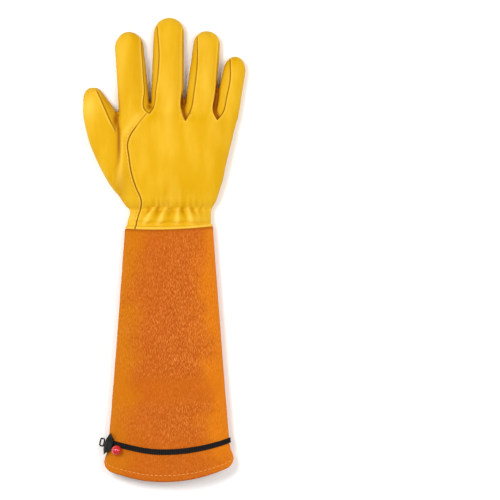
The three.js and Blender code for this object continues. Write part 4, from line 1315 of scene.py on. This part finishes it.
# Along a stitch: the share of its length, its thickness and how far it lies above the surface.
STITCH_PROFILE = [(0.0, 0.25, -0.5), (0.12, 0.85, -0.1), (0.5, 1.0, 0.3), (0.88, 0.85, -0.1),
                  (1.0, 0.25, -0.5)]


def stitch_row(starts, ends, normals, radius):
    """Capsules from starts to ends, lying on a surface with these normals."""
    run = ends - starts
    beside = np.cross(unit(run), normals)
    turns = full_turn(STITCH_SIDES)
    parts = []
    for start, along, sideways, up in zip(starts, run, beside, normals):
        circle = np.cos(turns)[:, None] * sideways + np.sin(turns)[:, None] * up
        rings = np.stack([start + along * share + up * lift * radius + circle * radius * size
                          for share, size, lift in STITCH_PROFILE])
        parts.append(tube(rings))
    return joined(parts)


def evenly(points, stitch, gap):
    """Places along a line for stitches: the share of the way of their starts and ends, as points."""
    lengths = lengths_along(points)
    starts = np.arange(0, lengths[-1] - stitch, stitch + gap)
    return [np.stack([np.interp(at, lengths, points[:, axis]) for axis in range(3)], -1)
            for at in (starts, starts + stitch)]


# %% Stitches on the leather
RAY_HEIGHT = 60.0
SEAM_STITCHES_FROM, SEAM_STITCHES_TO, FROM_SEAM = 4, 101, 2.3
SEAM_STITCH, SEAM_STITCH_GAP = 2.4, 1.4


def on_leather(flat):
    """Where the leather lies below points seen from above, and its normals there."""
    hits = [leather_tree.ray_cast(Vector((x, y, RAY_HEIGHT)), Vector((0, 0, -1))) for x, y in flat]
    return np.array([hit[0] for hit in hits]), np.array([hit[1] for hit in hits])


def leather_row(line, stitch, gap):
    points, _ = on_leather(line)
    starts, ends = evenly(points, stitch, gap)
    _, normals = on_leather((starts[:, :2] + ends[:, :2]) / 2)
    return stitch_row(starts, ends, normals, THREAD_RADIUS)


is_stitched = (back_seam[:, 1] > SEAM_STITCHES_FROM) & (back_seam[:, 1] < SEAM_STITCHES_TO)
seam_line = back_seam[is_stitched]
ahead = unit(np.gradient(seam_line, axis=0))
left_of_seam = seam_line + np.stack([ahead[:, 1], -ahead[:, 0]], -1) * FROM_SEAM
row_points, row_faces = leather_row(left_of_seam, SEAM_STITCH, SEAM_STITCH_GAP)
leather_stitches = mesh_object("leather_stitches", row_points + SHIFT, row_faces)
finish_piece(leather_stitches, thread, "grain_leather")

# %% Stitches along the hem
HEM_STEPS, HEM_STITCH, HEM_STITCH_GAP = 400, 3.0, 1.5
THREAD_SINK, LIFTED = -0.2, 1.0
turns = np.linspace(0, 2 * math.pi, HEM_STEPS)
hem_share = np.full(HEM_STEPS, 1 - HEM_STITCH_FROM_EDGE / CUFF_LENGTH)
hem_line = cuff_surface(hem_share, turns, THREAD_SINK)
hem_starts, hem_ends = evenly(hem_line, HEM_STITCH, HEM_STITCH_GAP)
out = unit(cuff_surface(hem_share, turns, LIFTED) - hem_line)
nearest_turn = [int(np.argmin(np.linalg.norm(hem_line - middle, axis=1)))
                for middle in (hem_starts + hem_ends) / 2]
hem_points, hem_faces = stitch_row(hem_starts, hem_ends, out[nearest_turn], THREAD_RADIUS)
hem_points[:, 2] = np.maximum(hem_points[:, 2], LEAST_HEIGHT)
hem_stitches = mesh_object("hem_stitches", hem_points + SHIFT, hem_faces)
finish_piece(hem_stitches, pale_thread, "suede")

# %% [markdown]
# ## The studio
# The glove lies on white paper under a camera that looks straight down from far away, as for a shop's
# catalogue. Two soft boxes above light the back, two at the sides keep the edges from going dull, and
# a white surround fills the shadows. The left one is stronger, so the folds get a light and a dark side.

# %% Floor, lights and camera
FLOOR_HALF, FLOOR_Z = 3000, -0.3
SURROUND = 0.48
# Each lamp: its place in metres, its size in metres and its power in watts.
LAMPS = {
    "key_left": ((-0.65, 0.4, 1.85), 0.6, 22),
    "fill_right": ((0.7, 0.1, 1.85), 0.6, 12),
    "edge_left": ((-1.7, 0.1, 0.75), 0.7, 8),
    "edge_right": ((1.7, 0.0, 0.75), 0.7, 8),
}
LAMP_TARGET = Vector((0.0, 0.0, 0.01))
VIEW_WIDTH, VIEW_X, VIEW_Y, FOCUS_Z = 0.5, 0.08588, -0.00068, 0.010
LENS, SENSOR = 300, 36

corners = [(-1, -1), (1, -1), (1, 1), (-1, 1)]
floor = mesh_object("floor", [(x * FLOOR_HALF, y * FLOOR_HALF, FLOOR_Z) for x, y in corners],
                    [(0, 1, 2, 3)])
paper = new_material("white_paper_sweep", TYPICAL_SPECULAR, Roughness=0.9, Base_Color=linear("#fbfbfa"))
floor.data.materials.append(paper)

world = bpy.data.worlds.new("soft_studio")
world.use_nodes = True
background = world.node_tree.nodes["Background"]
background.inputs["Color"].default_value = (1, 1, 1, 1)
background.inputs["Strength"].default_value = SURROUND
bpy.context.scene.world = world

for name, (place, size, power) in LAMPS.items():
    lamp = bpy.data.lights.new(name, "AREA")
    lamp.shape = "SQUARE"
    lamp.size = size
    lamp.energy = power
    box = bpy.data.objects.new(name, lamp)
    box.location = place
    box.rotation_mode = "QUATERNION"
    box.rotation_quaternion = (LAMP_TARGET - Vector(place)).to_track_quat("-Z", "Y")
    bpy.context.scene.collection.objects.link(box)

camera = bpy.data.cameras.new("camera")
camera.lens = LENS
camera.sensor_width = SENSOR
view = bpy.data.objects.new("camera", camera)
view.location = (VIEW_X, VIEW_Y, FOCUS_Z + VIEW_WIDTH * LENS / SENSOR)
bpy.context.scene.collection.objects.link(view)
bpy.context.scene.camera = view
bpy.context.scene.view_settings.view_transform = "Standard"
print("The picture is", VIEW_WIDTH, "m wide, with", len(LAMPS), "lamps")
